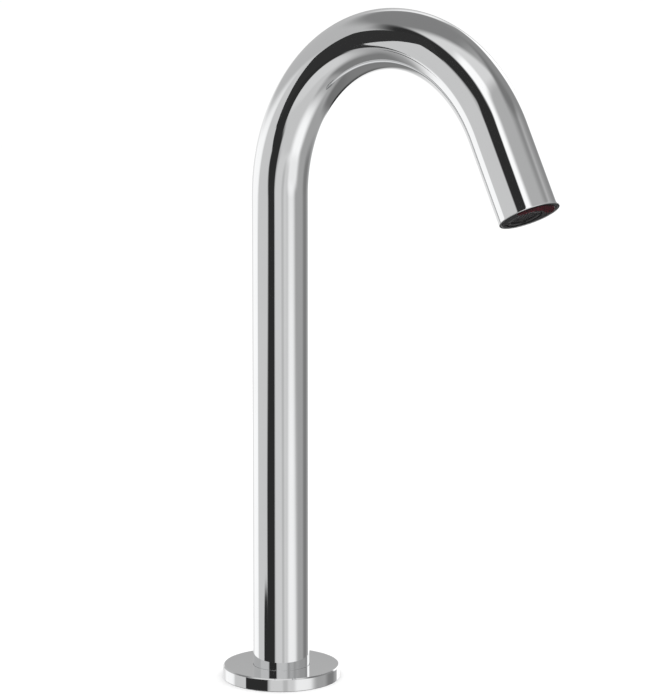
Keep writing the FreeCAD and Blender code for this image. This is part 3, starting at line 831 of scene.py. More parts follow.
def window_finish(look):
    """Dark red plastic that lets a little light through, with a hard polished face."""
    return surface(
        "Infrared window", look.window, 0.095, grain=2500.0, patches=180.0, bump=0.05, depth=0.00001,
        spread=0.07, shade=0.7, specular=0.12, transmission=0.25, ior=1.49
    )


def diode_finish(look):
    """Clear resin, faintly blue."""
    return surface(
        "Diode resin", look.diode, 0.10, grain=4000.0, patches=500.0, bump=0.0, spread=0.10, shade=0.8,
        transmission=0.7
    )


def board_finish(look):
    """Green lacquer over a woven laminate, with copper tracks under it."""
    made = bpy.data.materials.get("Circuit board")
    if made:
        return made
    finish, shader = new_finish("Circuit board")
    tree = finish.node_tree
    black, white = (0, 0, 0, 1), (1, 1, 1, 1)
    tracks = put(tree, "ShaderNodeTexBrick", {
        "Vector": put(tree, "ShaderNodeTexCoord").outputs["Object"], "Scale": 420.0, "Mortar Size": 0.03,
        "Color1": black, "Color2": black, "Mortar": white,
    }).outputs["Fac"]
    texture = put(
        tree, "ShaderNodeGroup", {"Grain scale": 5000.0, "Patch scale": 400.0}, node_tree=grain_group()
    ).outputs
    over_track = tuple(part * 1.9 + 0.02 for part in look.board)
    tint = mixed(tree, tracks, solid_colour(look.board), solid_colour(over_track))
    gloss = between(tree, texture["Patches"], 0.22, 0.38)
    finish_it(tree, shader, tint, gloss, maths(tree, "ADD", tracks, texture["Grain"]), 0.3, 0.00003)
    return finish


def repaint(node, finish):
    """Gives a CAD node's object a finish."""
    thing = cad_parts[node]
    for slot_of_it in thing.material_slots:
        slot_of_it.material = finish


# ---- stage: camera, floor, lights and what the chrome reflects -----------------------------------

# The camera, found from the outlines of tube, outlet and flange in the photograph
CAMERA_TARGET = Vector((0, -60 * MM, 160 * MM))
CAMERA_AZIMUTH = math.radians(-44.337)
CAMERA_ELEVATION = math.radians(8.101)
CAMERA_DISTANCE = 1083.8 * MM
CAMERA_YAW = math.radians(1.100)            # away from the target, to the left
CAMERA_PITCH = math.radians(6.699)          # below the horizon
CAMERA_LENS = 117.90
CAMERA_SHIFT = -0.05
CAMERA_NEAR, CAMERA_FAR = 0.01, 100

# What the chrome reflects, patch over patch: name, azimuth from the camera's side, elevation, width, height and
# roll in degrees, squareness, softness of the edge, and brightness
STUDIO_TURN = 45.5
STUDIO_BASE = 0.42
BACKGROUND = 1.02           # what the camera sees past the floor: white
STUDIO_CARDS = (
    ("high left shade", -120, 65, 120, 60, 0, 3, 0.3, 0.26),
    ("overhead", 5, 66, 120, 44, 0, 4, 0.25, 0.80),
    ("overhead bright", -12, 44, 52, 38, -35, 4, 0.2, 1.2),
    ("right wall", 50, 42, 70, 44, 0, 4, 0.2, 0.5),
    ("right dark", 112, 50, 56, 26, 0, 3, 0.4, 0.22),
    ("back right shade", 138, 34, 44, 40, 0, 3, 0.4, 0.30),
    ("back right light", 154, 16, 32, 26, -25, 3, 0.2, 1.3),
    ("back low light", 164, -12, 34, 32, 0, 3, 0.3, 1.3),
    ("back low shade", 180, -48, 60, 48, 0, 3, 0.2, 0.20),
    ("outlet shade", 173, -28, 34, 14, 0, 4, 0.2, 0.03),
    ("far back light", -176, 26, 26, 22, 0, 3, 0.3, 1.2),
    ("left wall", -135, 10, 100, 50, 0, 4, 0.25, 0.55),
    ("left light", -142, -9, 84, 30, 0, 3, 0.3, 1.15),
    ("left edge", -163, -8, 42, 26, 0, 4, 0.3, 0.86),
    ("left light 2", -112, -6, 30, 20, 0, 3, 0.5, 1.15),
    ("low left shade", -120, -50, 100, 40, 0, 4, 0.3, 0.24),
    ("front floor", -20, -50, 120, 50, 0, 4, 0.2, 0.66),
    ("left floor light", -68, -42, 34, 24, 0, 3, 0.3, 0.75),
    ("front light", 46, -38, 36, 84, 0, 3, 0.55, 1.15),
    ("front light low", 42, -24, 62, 22, 0, 3, 0.5, 1.0),
    ("front low", 5, -5, 50, 50, 0, 5, 0.2, 0.72),
    ("front low band", 11, -10, 9, 30, 0, 3, 0.6, 0.56),
    ("right shade", 102, -20, 58, 44, 0, 4, 0.35, 0.42),
    ("right dark low", 118, -12, 26, 30, 0, 3, 0.6, 0.24),
    ("dark gap", -35.5, 6, 33, 72, -11, 4, 0.1, 0.03),
    ("dark gap's top", -60, 38, 62, 26, 0, 3, 0.2, 0.03),
    ("lit centre", -70, 5, 50, 36, 0, 2.2, 0.12, 0.68),
    ("side light", -80, -11, 46, 14, 0, 6, 0.12, 0.68),
    ("dark gap's foot", -64, -24.5, 46, 14, 0, 4, 0.12, 0.03),
    ("dark gap's heel", -62, -17, 18, 7, 0, 4, 0.1, 0.03),
    ("far back shade", 180, 9, 22, 14, 0, 4, 0.3, 0.45),
)

# A black card stands close beside the column, edge on to the camera: how far from the column's axis, its
# brightness, and its two edges from the bottom up, as (distance behind the axis, height) in millimetres
BLACK_CARD_OFFSET = 49 * MM
BLACK_CARD_LEVEL = 0.035
BLACK_CARD_FRONT = ((-48, 262), (-49, 271), (-57, 273), (-59, 292), (-78, 322), (-106, 360), (-140, 366))
BLACK_CARD_BACK = ((-37, 262), (-34, 290), (-33, 310), (-45, 345), (-75, 375), (-84, 395), (-120, 445))

FLOOR_RADIUS = 6

# The lamps, which only matt surfaces show: name, place, size in metres and share of the key light's power
LAMPS = (
    ("key light", (-0.9, -0.9, 1.7), 1.4, 1.0),
    ("fill light", (1.6, -0.6, 1.2), 1.2, 0.4),
)
LAMP_AIM = (0, -0.05, 0.1)


def heading(azimuth, elevation):
    """The direction with an azimuth, counted from -Y towards +X, and an elevation."""
    return (
        math.sin(azimuth) * math.cos(elevation), -math.cos(azimuth) * math.cos(elevation), math.sin(elevation)
    )


def make_camera():
    """The camera of the photograph."""
    back = Vector(heading(CAMERA_AZIMUTH, CAMERA_ELEVATION))
    yaw = CAMERA_AZIMUTH + CAMERA_YAW
    behind = Vector(heading(yaw, CAMERA_PITCH))
    right = Vector((math.cos(yaw), math.sin(yaw), 0))
    up = behind.cross(right)
    camera = linked("camera", bpy.data.cameras.new("camera"))
    turn = Matrix((right, up, behind)).transposed().to_4x4()
    camera.matrix_world = Matrix.Translation(CAMERA_TARGET + back * CAMERA_DISTANCE) @ turn
    camera.data.lens = CAMERA_LENS
    camera.data.shift_y = CAMERA_SHIFT
    camera.data.clip_start = CAMERA_NEAR
    camera.data.clip_end = CAMERA_FAR
    bpy.context.scene.camera = camera


def make_world(ambient):
    """Soft boxes and dark panels round the tap, which only its gloss shows. Matt surfaces get even light."""
    world = bpy.data.worlds.new("Studio")
    bpy.context.scene.world = world
    world.use_nodes = True
    tree = world.node_tree
    tree.nodes.clear()
    direction = put(tree, "ShaderNodeVectorMath", {
        0: put(tree, "ShaderNodeTexCoord").outputs["Generated"],
    }, operation="NORMALIZE").outputs[0]
    light = STUDIO_BASE
    for name, azimuth, elevation, width, height, roll, squareness, edge, level in STUDIO_CARDS:
        a, e = math.radians(azimuth - STUDIO_TURN), math.radians(elevation)
        light = put(tree, "ShaderNodeGroup", {
            "Light": light,
            "Direction": direction,
            "Facing": heading(a, e),
            "Across": (math.cos(a), math.sin(a), 0),
            "Upward": heading(a, e + math.pi / 2),
            "Half width": math.radians(width / 2),
            "Half height": math.radians(height / 2),
            "Roll": math.radians(roll),
            "Squareness": squareness,
            "Edge": edge,
            "Level": level,
        }, node_tree=card_group(), label=name).outputs["Light"]
    path = put(tree, "ShaderNodeLightPath").outputs
    plain = grey_between(tree, path["Is Camera Ray"], ambient, BACKGROUND)
    strength = grey_between(tree, path["Is Glossy Ray"], plain, light)
    background = put(tree, "ShaderNodeBackground", {"Color": (1, 1, 1, 1), "Strength": strength})
    put(tree, "ShaderNodeOutputWorld", {"Surface": background.outputs[0]})


def flat(name, points):
    """A mesh of one face."""
    mesh = bpy.data.meshes.new(name)
    mesh.from_pydata(points, [], [tuple(range(len(points)))])
    return mesh


def make_floor(pale):
    """The deck's plane. The chrome doesn't show it, because the studio's patches stand for it there."""
    mesh = flat("floor", [(*point, 0.0) for point in circle(FLOOR_RADIUS, count=64)])
    floor = linked("floor", mesh)
    mesh.materials.append(surface(
        "Pale floor", pale, 0.85, grain=400.0, patches=3.0, bump=0.05, spread=0.05, shade=0.99, specular=0.0
    ))
    floor.visible_glossy = False


def make_black_card():
    """A black card that only the chrome shows: the dark band over the tube's shoulder and crown."""
    outline = BLACK_CARD_FRONT + BLACK_CARD_BACK[::-1]
    mesh = flat("black card", [(-BLACK_CARD_OFFSET, y * MM, z * MM) for y, z in outline])
    card = linked("black card", mesh)
    card.rotation_euler.z = math.radians(-STUDIO_TURN)
    finish, shader = new_finish("Black card")
    shader.inputs["Base Color"].default_value = (0, 0, 0, 1)
    shader.inputs["Specular IOR Level"].default_value = 0
    shader.inputs["Emission Color"].default_value = (1, 1, 1, 1)
    shader.inputs["Emission Strength"].default_value = BLACK_CARD_LEVEL
    mesh.materials.append(finish)
    card.visible_camera = False
    card.visible_diffuse = False
    card.visible_transmission = False
    card.visible_shadow = False


def make_lamp(name, place, size, power):
    """A round soft light that faces the tap."""
    light = bpy.data.lights.new(name, "AREA")
    light.shape = "DISK"
    light.size = size
    light.energy = power
    lamp = linked(name, light)
    lamp.location = place
    lamp.rotation_euler = (Vector(LAMP_AIM) - Vector(place)).to_track_quat("-Z", "Y").to_euler()
    lamp.visible_glossy = False
    lamp.visible_camera = False


class TAP_OT_stage(bpy.types.Operator):
    """Camera, floor, lights and the studio that the chrome reflects"""
    bl_idname = "sensor_tap.stage"
    bl_label = "Stage"

    def execute(self, context):
        studio = context.scene.sensor_tap.studio
        context.scene.view_settings.view_transform = "Standard"
        make_camera()
        make_world(studio.ambient)
        make_floor(studio.floor)
        make_black_card()
        for name, place, size, share in LAMPS:
            make_lamp(name, place, size, studio.key_power * share)
        return {"FINISHED"}


# ---- operators, one for each piece or group of like pieces ---------------------------------------


class TAP_OT_spout(bpy.types.Operator):
    """The bent tube: column, arch and tip, with its wall, its rounded end and the set screw's hole"""
    bl_idname = "sensor_tap.spout"
    bl_label = "Spout tube"

    COUNT = 128         # points round the tube
    BLOCK = 8           # cells along each side of the square patch that holds the screw's hole
    BELOW_HOLE = (1 * MM, 3 * MM, 6 * MM, 9.5 * MM)
    ABOVE_HOLE = (21 * MM, 26 * MM, 32 * MM)
    HOLE = 1.6 * MM
    HOLE_EDGE = 0.15 * MM
    INNER_EDGE = 0.12 * MM

    def execute(self, context):
        sizes = context.scene.sensor_tap.spout
        outer, inner = TUBE_RADIUS, TUBE_RADIUS - sizes.wall
        half = self.BLOCK // 2
        cell = TURN * outer / self.COUNT
        hole_rows = [sizes.screw_height + cell * (k - half) for k in range(self.BLOCK + 1)]
        places = [*self.BELOW_HOLE, *hole_rows, *self.ABOVE_HOLE]
        places += [s for s in stations(sizes, 0, LEDGE) if s >= sizes.tip_length - SAME_POINT]
        first_row, first_column = 1 + len(self.BELOW_HOLE), self.COUNT * 3 // 4 - half
        vertices, faces, walls = [], [], []
        for radius, edge in ((outer, sizes.edge), (inner, self.INNER_EDGE)):
            rows = [added(vertices, ring_at(sizes, s, radius, self.COUNT)) for s in [edge] + places]
            walls.append(rows)
            for i, (here, there) in enumerate(zip(rows, rows[1:])):
                for j, face in enumerate(band(here, there)):
                    in_rows = first_row <= i < first_row + self.BLOCK
                    if not (in_rows and first_column <= j < first_column + self.BLOCK):
                        faces.append(face)
        rim = self.end_rim(sizes, outer, inner, vertices)
        faces += bands([walls[0][0]] + rim + [walls[1][0]])
        faces += band(walls[0][-1], walls[1][-1])
        faces += bands(self.hole(sizes, outer, inner, walls, first_row + half, first_column + half, vertices))
        mesh = solid("spout", vertices, faces, 40)
        look = context.scene.sensor_tap.finishes
        add("spout", mesh, ["spout_tube"], "tap", chrome_finish(look), even=False)
        return {"FINISHED"}

    def end_rim(self, sizes, outer, inner, vertices):
        """The rings of the open end's rounded rim, from the outside to the inside."""
        arc = quarter_round(5)
        profile = [(outer - sizes.edge * along, sizes.edge * across) for across, along in arc[1:]]
        profile += [(inner + self.INNER_EDGE * across, self.INNER_EDGE * along) for across, along in arc[:-1]]
        return [added(vertices, ring_at(sizes, s, radius, self.COUNT)) for radius, s in profile]

    def hole(self, sizes, outer, inner, walls, middle_row, middle_column, vertices):
        """The rings of the set screw's hole, from the outside to the inside: a square patch of the grid on each
        side of the wall is drawn in to a circle."""
        half = self.BLOCK // 2
        steps = range(-half, half)
        cells = [(k, -half) for k in steps] + [(half, k) for k in steps]
        cells += [(-k, half) for k in steps] + [(-half, -k) for k in steps]
        cell = TURN * outer / self.COUNT
        place = outlet_place(sizes)

        def at(x, up, radius, depth=0.0):
            y = math.sqrt(radius * radius - x * x) - depth
            return tuple(place @ Vector((x, y, sizes.screw_height + up)))

        sides = []
        for radius, rounding, rows in ((outer, self.HOLE_EDGE, walls[0]), (inner, 0.0, walls[1])):
            corners = [(radius * math.sin(TURN * u / self.COUNT), cell * v) for u, v in cells]
            angles = [math.atan2(up, x) for x, up in corners]
            mouth = self.HOLE + rounding
            rings = [[rows[middle_row + v][middle_column + u] for u, v in cells]]
            targets = [(mouth * math.cos(angle), mouth * math.sin(angle)) for angle in angles]
            for share in (0.35, 0.7, 1.0):
                rings.append(added(vertices, [
                    at(x + (to_x - x) * share, up + (to_up - up) * share, radius)
                    for (x, up), (to_x, to_up) in zip(corners, targets)
                ]))
            if rounding:
                for across, along in quarter_round(4)[1:]:
                    wide = self.HOLE + rounding * across
                    rings.append(added(vertices, [
                        at(wide * math.cos(angle), wide * math.sin(angle), radius, rounding * along)
                        for angle in angles
                    ]))
            sides.append(rings)
        return sides[0] + sides[1][::-1]


class TAP_OT_flange(bpy.types.Operator):
    """The round flange that the column stands in, with its gasket and its O-ring"""
    bl_idname = "sensor_tap.flange"
    bl_label = "Flange and gasket"

    def execute(self, context):
        look = context.scene.sensor_tap.finishes
        radius, top = FLANGE_RADIUS, heights("base_flange")[1]
        bevel, foot, soft = 0.6 * MM, 0.3 * MM, 0.15 * MM
        socket, bore = TUBE_RADIUS + 0.1 * MM, SHANK_RADIUS + 0.3 * MM
        inside, outside, gasket_top = 20 * MM, reach("deck_gasket"), heights("deck_gasket")[1]
        gap = 0.1 * MM
        groove, groove_low, groove_top = 15.46 * MM, 3.27 * MM, 4.73 * MM
        mesh = turned("flange", [
            (bore, 0), (inside - gap, 0), (inside - gap, gasket_top), (outside + gap, gasket_top),
            (outside + gap, 0), (radius - foot, 0, soft / 2), (radius, foot, soft / 2),
            (radius, top - bevel, soft), (radius - bevel, top, soft), (socket, top, 0.12 * MM),
            (socket, groove_top), (groove, groove_top), (groove, groove_low), (socket, groove_low),
            (socket, LEDGE), (bore, LEDGE),
        ], count=256, sharp=35)
        add("flange", mesh, ["base_flange"], "tap", chrome_finish(look))
        mesh = washer("gasket", inside, outside, 0, gasket_top, 0.25 * MM, 128)
        add("gasket", mesh, ["deck_gasket"], "tap", rubber_finish(look))
        mesh = turned("column_o_ring", o_ring(14.73 * MM, 1.3 * MM, 4 * MM))
        add("column_o_ring", mesh, ["flange_o_ring"], "tap", rubber_finish(look))
        return {"FINISHED"}


class TAP_OT_shank(bpy.types.Operator):
    """The threaded shank that goes down through the deck, and the bush that it screws into"""
    bl_idname = "sensor_tap.shank"
    bl_label = "Shank and bush"

    COUNT = 96

    def execute(self, context):
        sizes, look = context.scene.sensor_tap.mount, context.scene.sensor_tap.finishes
        root = thread_root(SHANK_RADIUS, sizes.shank_pitch)
        counterbore, bore, spigot = 9.61 * MM, 8.11 * MM, 10 * MM
        guide_top = SHANK_LOW + 10 * MM
        rows = thread_rows(
            SHANK_RADIUS, root, sizes.shank_pitch, SHANK_LOW, LEDGE, root - 0.1 * MM, self.COUNT
        )
        mesh = threaded("shank", rows, [
            (bore, guide_top), (counterbore, guide_top), (counterbore, SHANK_LOW, 0.1 * MM),
        ], [
            (spigot, LEDGE), (spigot, SHANK_TOP, 0.4 * MM), (bore, SHANK_TOP, 0.3 * MM),
        ], self.COUNT)
        add("shank", mesh, ["mounting_shank"], "tap", brass_finish(look), even=False)
        outside, inside, chamfer, soft = TUBE_RADIUS - 1.05 * MM, spigot + 0.05 * MM, 1 * MM, 0.2 * MM
        mesh = turned("bush", [
            (inside, LEDGE, soft), (outside, LEDGE, 0.3 * MM), (outside, SHANK_TOP - chamfer, soft),
            (outside - chamfer, SHANK_TOP, soft), (inside, SHANK_TOP, soft),
        ])
        add("bush", mesh, ["foot_bush"], "tap", brass_finish(look))
        return {"FINISHED"}


class TAP_OT_clamp(bpy.types.Operator):
    """The washers and the nut that clamp the tap to its deck"""
    bl_idname = "sensor_tap.clamp"
    bl_label = "Washers and nut"

    COUNT = 96

    def execute(self, context):
        sizes, look = context.scene.sensor_tap.mount, context.scene.sensor_tap.finishes
        for node, name, slot, finish, soft in (
            ("rubber_washer", "soft_washer", "black_rubber", rubber_finish(look), 0.5 * MM),
            ("steel_washer", "hard_washer", "stainless", steel_finish(look), 0.25 * MM),
        ):
            low, top = heights(node)
            mesh = washer(name, SHANK_RADIUS + 0.3 * MM, reach(node), low, top, soft, 160)
            add(name, mesh, [node], "clamp_washers", finish)
        low, top = heights("fixing_nut")
        flats, slant, fall = 36 * MM, 2.08 * MM, 0.96 * MM
        corner = flats / math.sqrt(3)
        hexagon = prism("nut", [hexagon_loop(flats, corner=1.2 * MM, steps=4)], [[(0, low), (0, top)]])
        blank = turned("blank", [
            (0, low), (corner - slant, low, 0.1 * MM), (corner, low + fall, 0.3 * MM),
            (corner, top - fall, 0.3 * MM), (corner - slant, top, 0.1 * MM), (0, top),
        ], count=192)
        hexagon = carved(hexagon, [blank], "INTERSECT")
        root = thread_root(SHANK_RADIUS, sizes.shank_pitch)
        pitch = past = sizes.shank_pitch
        rows = thread_rows(
            SHANK_RADIUS, root, pitch, low - past, top + past, root - 0.1 * MM, self.COUNT, grow=0.05 * MM
        )
        plug = threaded("plug", rows, [(0, low - past)], [(0, top + past)], self.COUNT)
        mouths = []
        for face, inwards in ((low, 1), (top, -1)):
            before, after = face - inwards * 1 * MM, face + inwards * 1.8 * MM
            mouths.append(turned("mouth", [
                (0, before), (SHANK_RADIUS + 1.6 * MM, before), (SHANK_RADIUS + 0.6 * MM, face),
                (SHANK_RADIUS - 1.2 * MM, after), (0, after),
            ]))
        mesh = carved(hexagon, [plug] + mouths)
        add("nut_piece", mesh, ["fixing_nut"], "nut", brass_finish(look))
        return {"FINISHED"}


class TAP_OT_inlet(bpy.types.Operator):
    """The plug in the shank's lower end, the water inlet in it and the lead's grommet"""
    bl_idname = "sensor_tap.inlet"
    bl_label = "Inlet and grommet"

    INLET_RADIUS = 6 * MM
    GROMMET_RADIUS = 2.2 * MM
    COUNT = 72          # points round the inlet's thread

    def execute(self, context):
        sizes, look = context.scene.sensor_tap.mount, context.scene.sensor_tap.finishes
        lip_low, guide_top = heights("shank_end_guide")
        lip, plug_radius = reach("shank_end_guide"), 9.51 * MM
        gap, soft, chamfer = 0.05 * MM, 0.3 * MM, 0.6 * MM
        step = lip - plug_radius
        outer = soft_edges(lip_low, SHANK_LOW, soft)[:-1] + [
            (soft / 2, SHANK_LOW), (step, SHANK_LOW), (step, guide_top - chamfer), (step + chamfer, guide_top),
        ]
        hole = [(0.2 * MM, lip_low), (0.06 * MM, lip_low + 0.06 * MM), (0, lip_low + 0.2 * MM), (0, guide_top)]
        mesh = prism("end_plug", [
            circle(lip), backwards(circle(self.INLET_RADIUS + gap, -sizes.hose_inset, 72)),
            backwards(circle(self.GROMMET_RADIUS + gap, sizes.lead_outset, 48)),
        ], [outer, hole, hole])
        add("end_plug", mesh, ["shank_end_guide"], "tap", head_finish(look))
        self.inlet(sizes, look, guide_top)
        low, rim = heights("cable_grommet")[0], reach("cable_grommet")
        bore, body, soft = 1.55 * MM, self.GROMMET_RADIUS, 0.2 * MM
        mesh = turned("grommet", [
            (bore, low, soft), (rim, low, 0.5 * MM), (rim, lip_low, soft), (body, lip_low),
            (body, guide_top, soft), (bore, guide_top, soft),
        ], y=sizes.lead_outset, count=48)
        add("grommet", mesh, ["cable_grommet"], "tap", rubber_finish(look))
        return {"FINISHED"}

    def inlet(self, sizes, look, guide_top):
        """A hexagon head, a body in the plug and a stem with three barbs, all bored through, with a thread for
        the supply hose in the head."""
        low, top = heights("tail_connector")
        y, past = -sizes.hose_inset, 1 * MM
        flats, hex_top, thread_top = 12 * MM, low + 5 * MM, low + 9 * MM
        body, barb, bore = self.INLET_RADIUS, 2.7 * MM, 1.9 * MM
        barbs, barb_depth = 3, 0.35 * MM
        core = body - 0.2 * MM
        outline = [(0, low + past), (core, low + past), (core, hex_top), (body, hex_top)]
        outline += [(body, guide_top, 0.3 * MM)]
        pitch = (top - guide_top) / barbs
        for k in range(barbs):
            outline += [(barb, guide_top + k * pitch), (barb - barb_depth, guide_top + (k + 1) * pitch)]
        stem = turned("stem", outline + [(0, top)], y, 64)
        corner = flats / math.sqrt(3)
        loop = hexagon_loop(flats, y=y, corner=0.4 * MM, steps=3)
        hexagon = prism("inlet", [loop], [[(0, low), (0, hex_top)]])
        blank = turned("blank", [
            (0, low), (corner - 1.3 * MM, low, 0.05 * MM), (corner, low + 0.65 * MM),
            (corner, hex_top - 0.4 * MM), (corner - 0.8 * MM, hex_top, 0.05 * MM), (0, hex_top),
        ], y, 120)
        hexagon = carved(hexagon, [blank], "INTERSECT")
        hexagon = carved(hexagon, [stem], "UNION")
        major, minor, pitch = 5.0 * MM, 4.46 * MM, sizes.inlet_pitch
        rows = thread_rows(major, minor, pitch, low - pitch, thread_top, minor - 0.05 * MM, self.COUNT)
        plug = threaded("plug", rows, [(0, low - pitch)], [(0, thread_top)], self.COUNT, y)
        mouth_top = low + 1.2 * MM
        mouth = turned("mouth", [
            (0, low - past), (major + 1.1 * MM, low - past), (major + 0.15 * MM, low),
            (minor - 0.6 * MM, mouth_top), (0, mouth_top),
        ], y)
        through = drill("through", bore, thread_top - past, top + past, y, 48)
        mesh = carved(hexagon, [plug, mouth, through])
        add("inlet", mesh, ["tail_connector"], "tap", brass_finish(look))


class TAP_OT_hose_and_lead(bpy.types.Operator):
    """The water hose and the sensor's lead inside the tap, with the hose's ferrules and nipple"""
    bl_idname = "sensor_tap.hose_and_lead"
    bl_label = "Hose and lead"

    def execute(self, context):
        scene = context.scene.sensor_tap
        spout, mount, look = scene.spout, scene.mount, scene.finishes
        hose_end, outside, inside, count = HEAD_TOP + 4 * MM, 4 * MM, 2.75 * MM, 40
        places = stations(spout, hose_end, heights("water_hose")[0], 2)
        outer = [ring_at(spout, s, outside, count, mount.hose_inset) for s in places]
        inner = [ring_at(spout, s, inside, count, mount.hose_inset) for s in reversed(places)]
        mesh = lofted("hose", outer + inner, wrap=True, sharp=40)
        add("hose", mesh, ["water_hose"], "tap", hose_finish(look), even=False)
        places = stations(spout, BOARD_TOP, heights("sensor_lead")[0], 2)
        rings = [ring_at(spout, s, 1.5 * MM, 24, -mount.lead_outset) for s in places]
        mesh = lofted("lead", rings, sharp=40)
        add("lead", mesh, ["sensor_lead"], "tap", lead_finish(look), even=False)
        repaint("hose_ferrules", steel_finish(look))
        repaint("head_nipple", brass_finish(look))
        repaint("nipple_seal", rubber_finish(look))
        return {"FINISHED"}


class TAP_OT_head(bpy.types.Operator):
    """The moulded head in the tube's end, its O-ring and the set screw that locks it"""
    bl_idname = "sensor_tap.head"
    bl_label = "Outlet head"

    def execute(self, context):
        scene = context.scene.sensor_tap
        spout, sizes, look = scene.spout, scene.outlet, scene.finishes
        place = outlet_place(spout)
        radius = TUBE_RADIUS - spout.wall - 0.1 * MM
        groove, groove_low, groove_top = 11.94 * MM, 16.97 * MM, 18.03 * MM
        body = turned("head", [
            (0, 0), (radius, 0, 0.3 * MM), (radius, groove_low), (groove, groove_low), (groove, groove_top),
            (radius, groove_top), (radius, HEAD_TOP, 0.3 * MM), (0, HEAD_TOP),
        ], count=160)
        mesh = carved(body, self.cutters(sizes, scene.mount.hose_inset), sharp=32)
        add("head", mesh, ["outlet_head"], "tap", head_finish(look), place)
        mesh = turned("head_ring", o_ring(12.47 * MM, 0.9 * MM, (groove_low + groove_top) / 2))
        add("head_ring", mesh, ["head_o_ring"], "tap", rubber_finish(look), place)
        self.set_screw(spout, look, place)
        return {"FINISHED"}

    def cutters(self, sizes, inset):
        """What the head leaves open: the aerator's bore, the chamber, the passage and the nipple's bore in the
        middle, and the window's pocket, the diodes' light well and the board's pocket in front."""
        offset, past, gap = sizes.aerator_offset, 0.5 * MM, 0.1 * MM
        bore, chamber, passage, nipple = 8.3 * MM, 6.85 * MM, 2.6 * MM, 5.05 * MM
        passage_top, nipple_low = HEAD_TOP - 7 * MM, HEAD_TOP - 7.5 * MM
        window = crescent_loop(
            sizes.window_shell + gap, sizes.window_well - gap, sizes.window_front - gap, sizes.window_corner,
            offset
        )
        light = crescent_loop(LIGHT_SHELL, LIGHT_WELL, LIGHT_FRONT, LIGHT_CORNER, offset)
        board = crescent_loop(BOARD_SHELL + gap, BOARD_WELL - gap, BOARD_FRONT - gap, BOARD_CORNER, offset)
        return [
            prism("bore", [circle(bore, offset, 120)], [flared(0, AERATOR_SEAT, 0.15 * MM, past)]),
            drill("chamber", chamber, AERATOR_SEAT - past, CHAMBER_TOP, offset, 80),
            drill("passage", passage, CHAMBER_TOP - past, passage_top, inset, 48),
            drill("nipple_bore", nipple, nipple_low, HEAD_TOP + past, inset, 64),
            prism("window_pocket", [window], [flared(0, WINDOW_TOP, 0.12 * MM, past)]),
            prism("light_well", [light], [[(0, WINDOW_TOP - past), (0, BOARD_LOW + past)]]),
            prism("board_pocket", [board], [[(0, BOARD_LOW), (0, HEAD_TOP + past)]]),
        ]

    def set_screw(self, spout, look, place):
        """A headless screw across the tip, with a hexagon socket in its outer end."""
        end = TUBE_RADIUS - 0.4 * MM
        long, radius, pitch, count = 4.6 * MM, 1.5 * MM, 0.5 * MM, 48
        rows = thread_rows(radius, radius - 0.3 * MM, pitch, -long, 0, radius - 0.35 * MM, count)
        blank = threaded("set_screw", rows, [(0, -long)], [(0, 0)], count)
        flats, depth = 1.5 * MM, 1.8 * MM
        profile = [(0, -depth), (0, -0.1 * MM), (-0.12 * MM, 0.02 * MM)]
        socket = prism("socket", [hexagon_loop(flats, corner=0.05 * MM)], [profile])
        mesh = carved(blank, [socket], sharp=25)
        # the screw's own +Z points out of the tube's back
        outwards = Matrix.Rotation(-math.pi / 2, 4, "X")
        across = place @ Matrix.Translation((0, end, spout.screw_height)) @ outwards
        add("set_screw", mesh, ["grub_screw"], "tap", steel_finish(look), across, even=False)


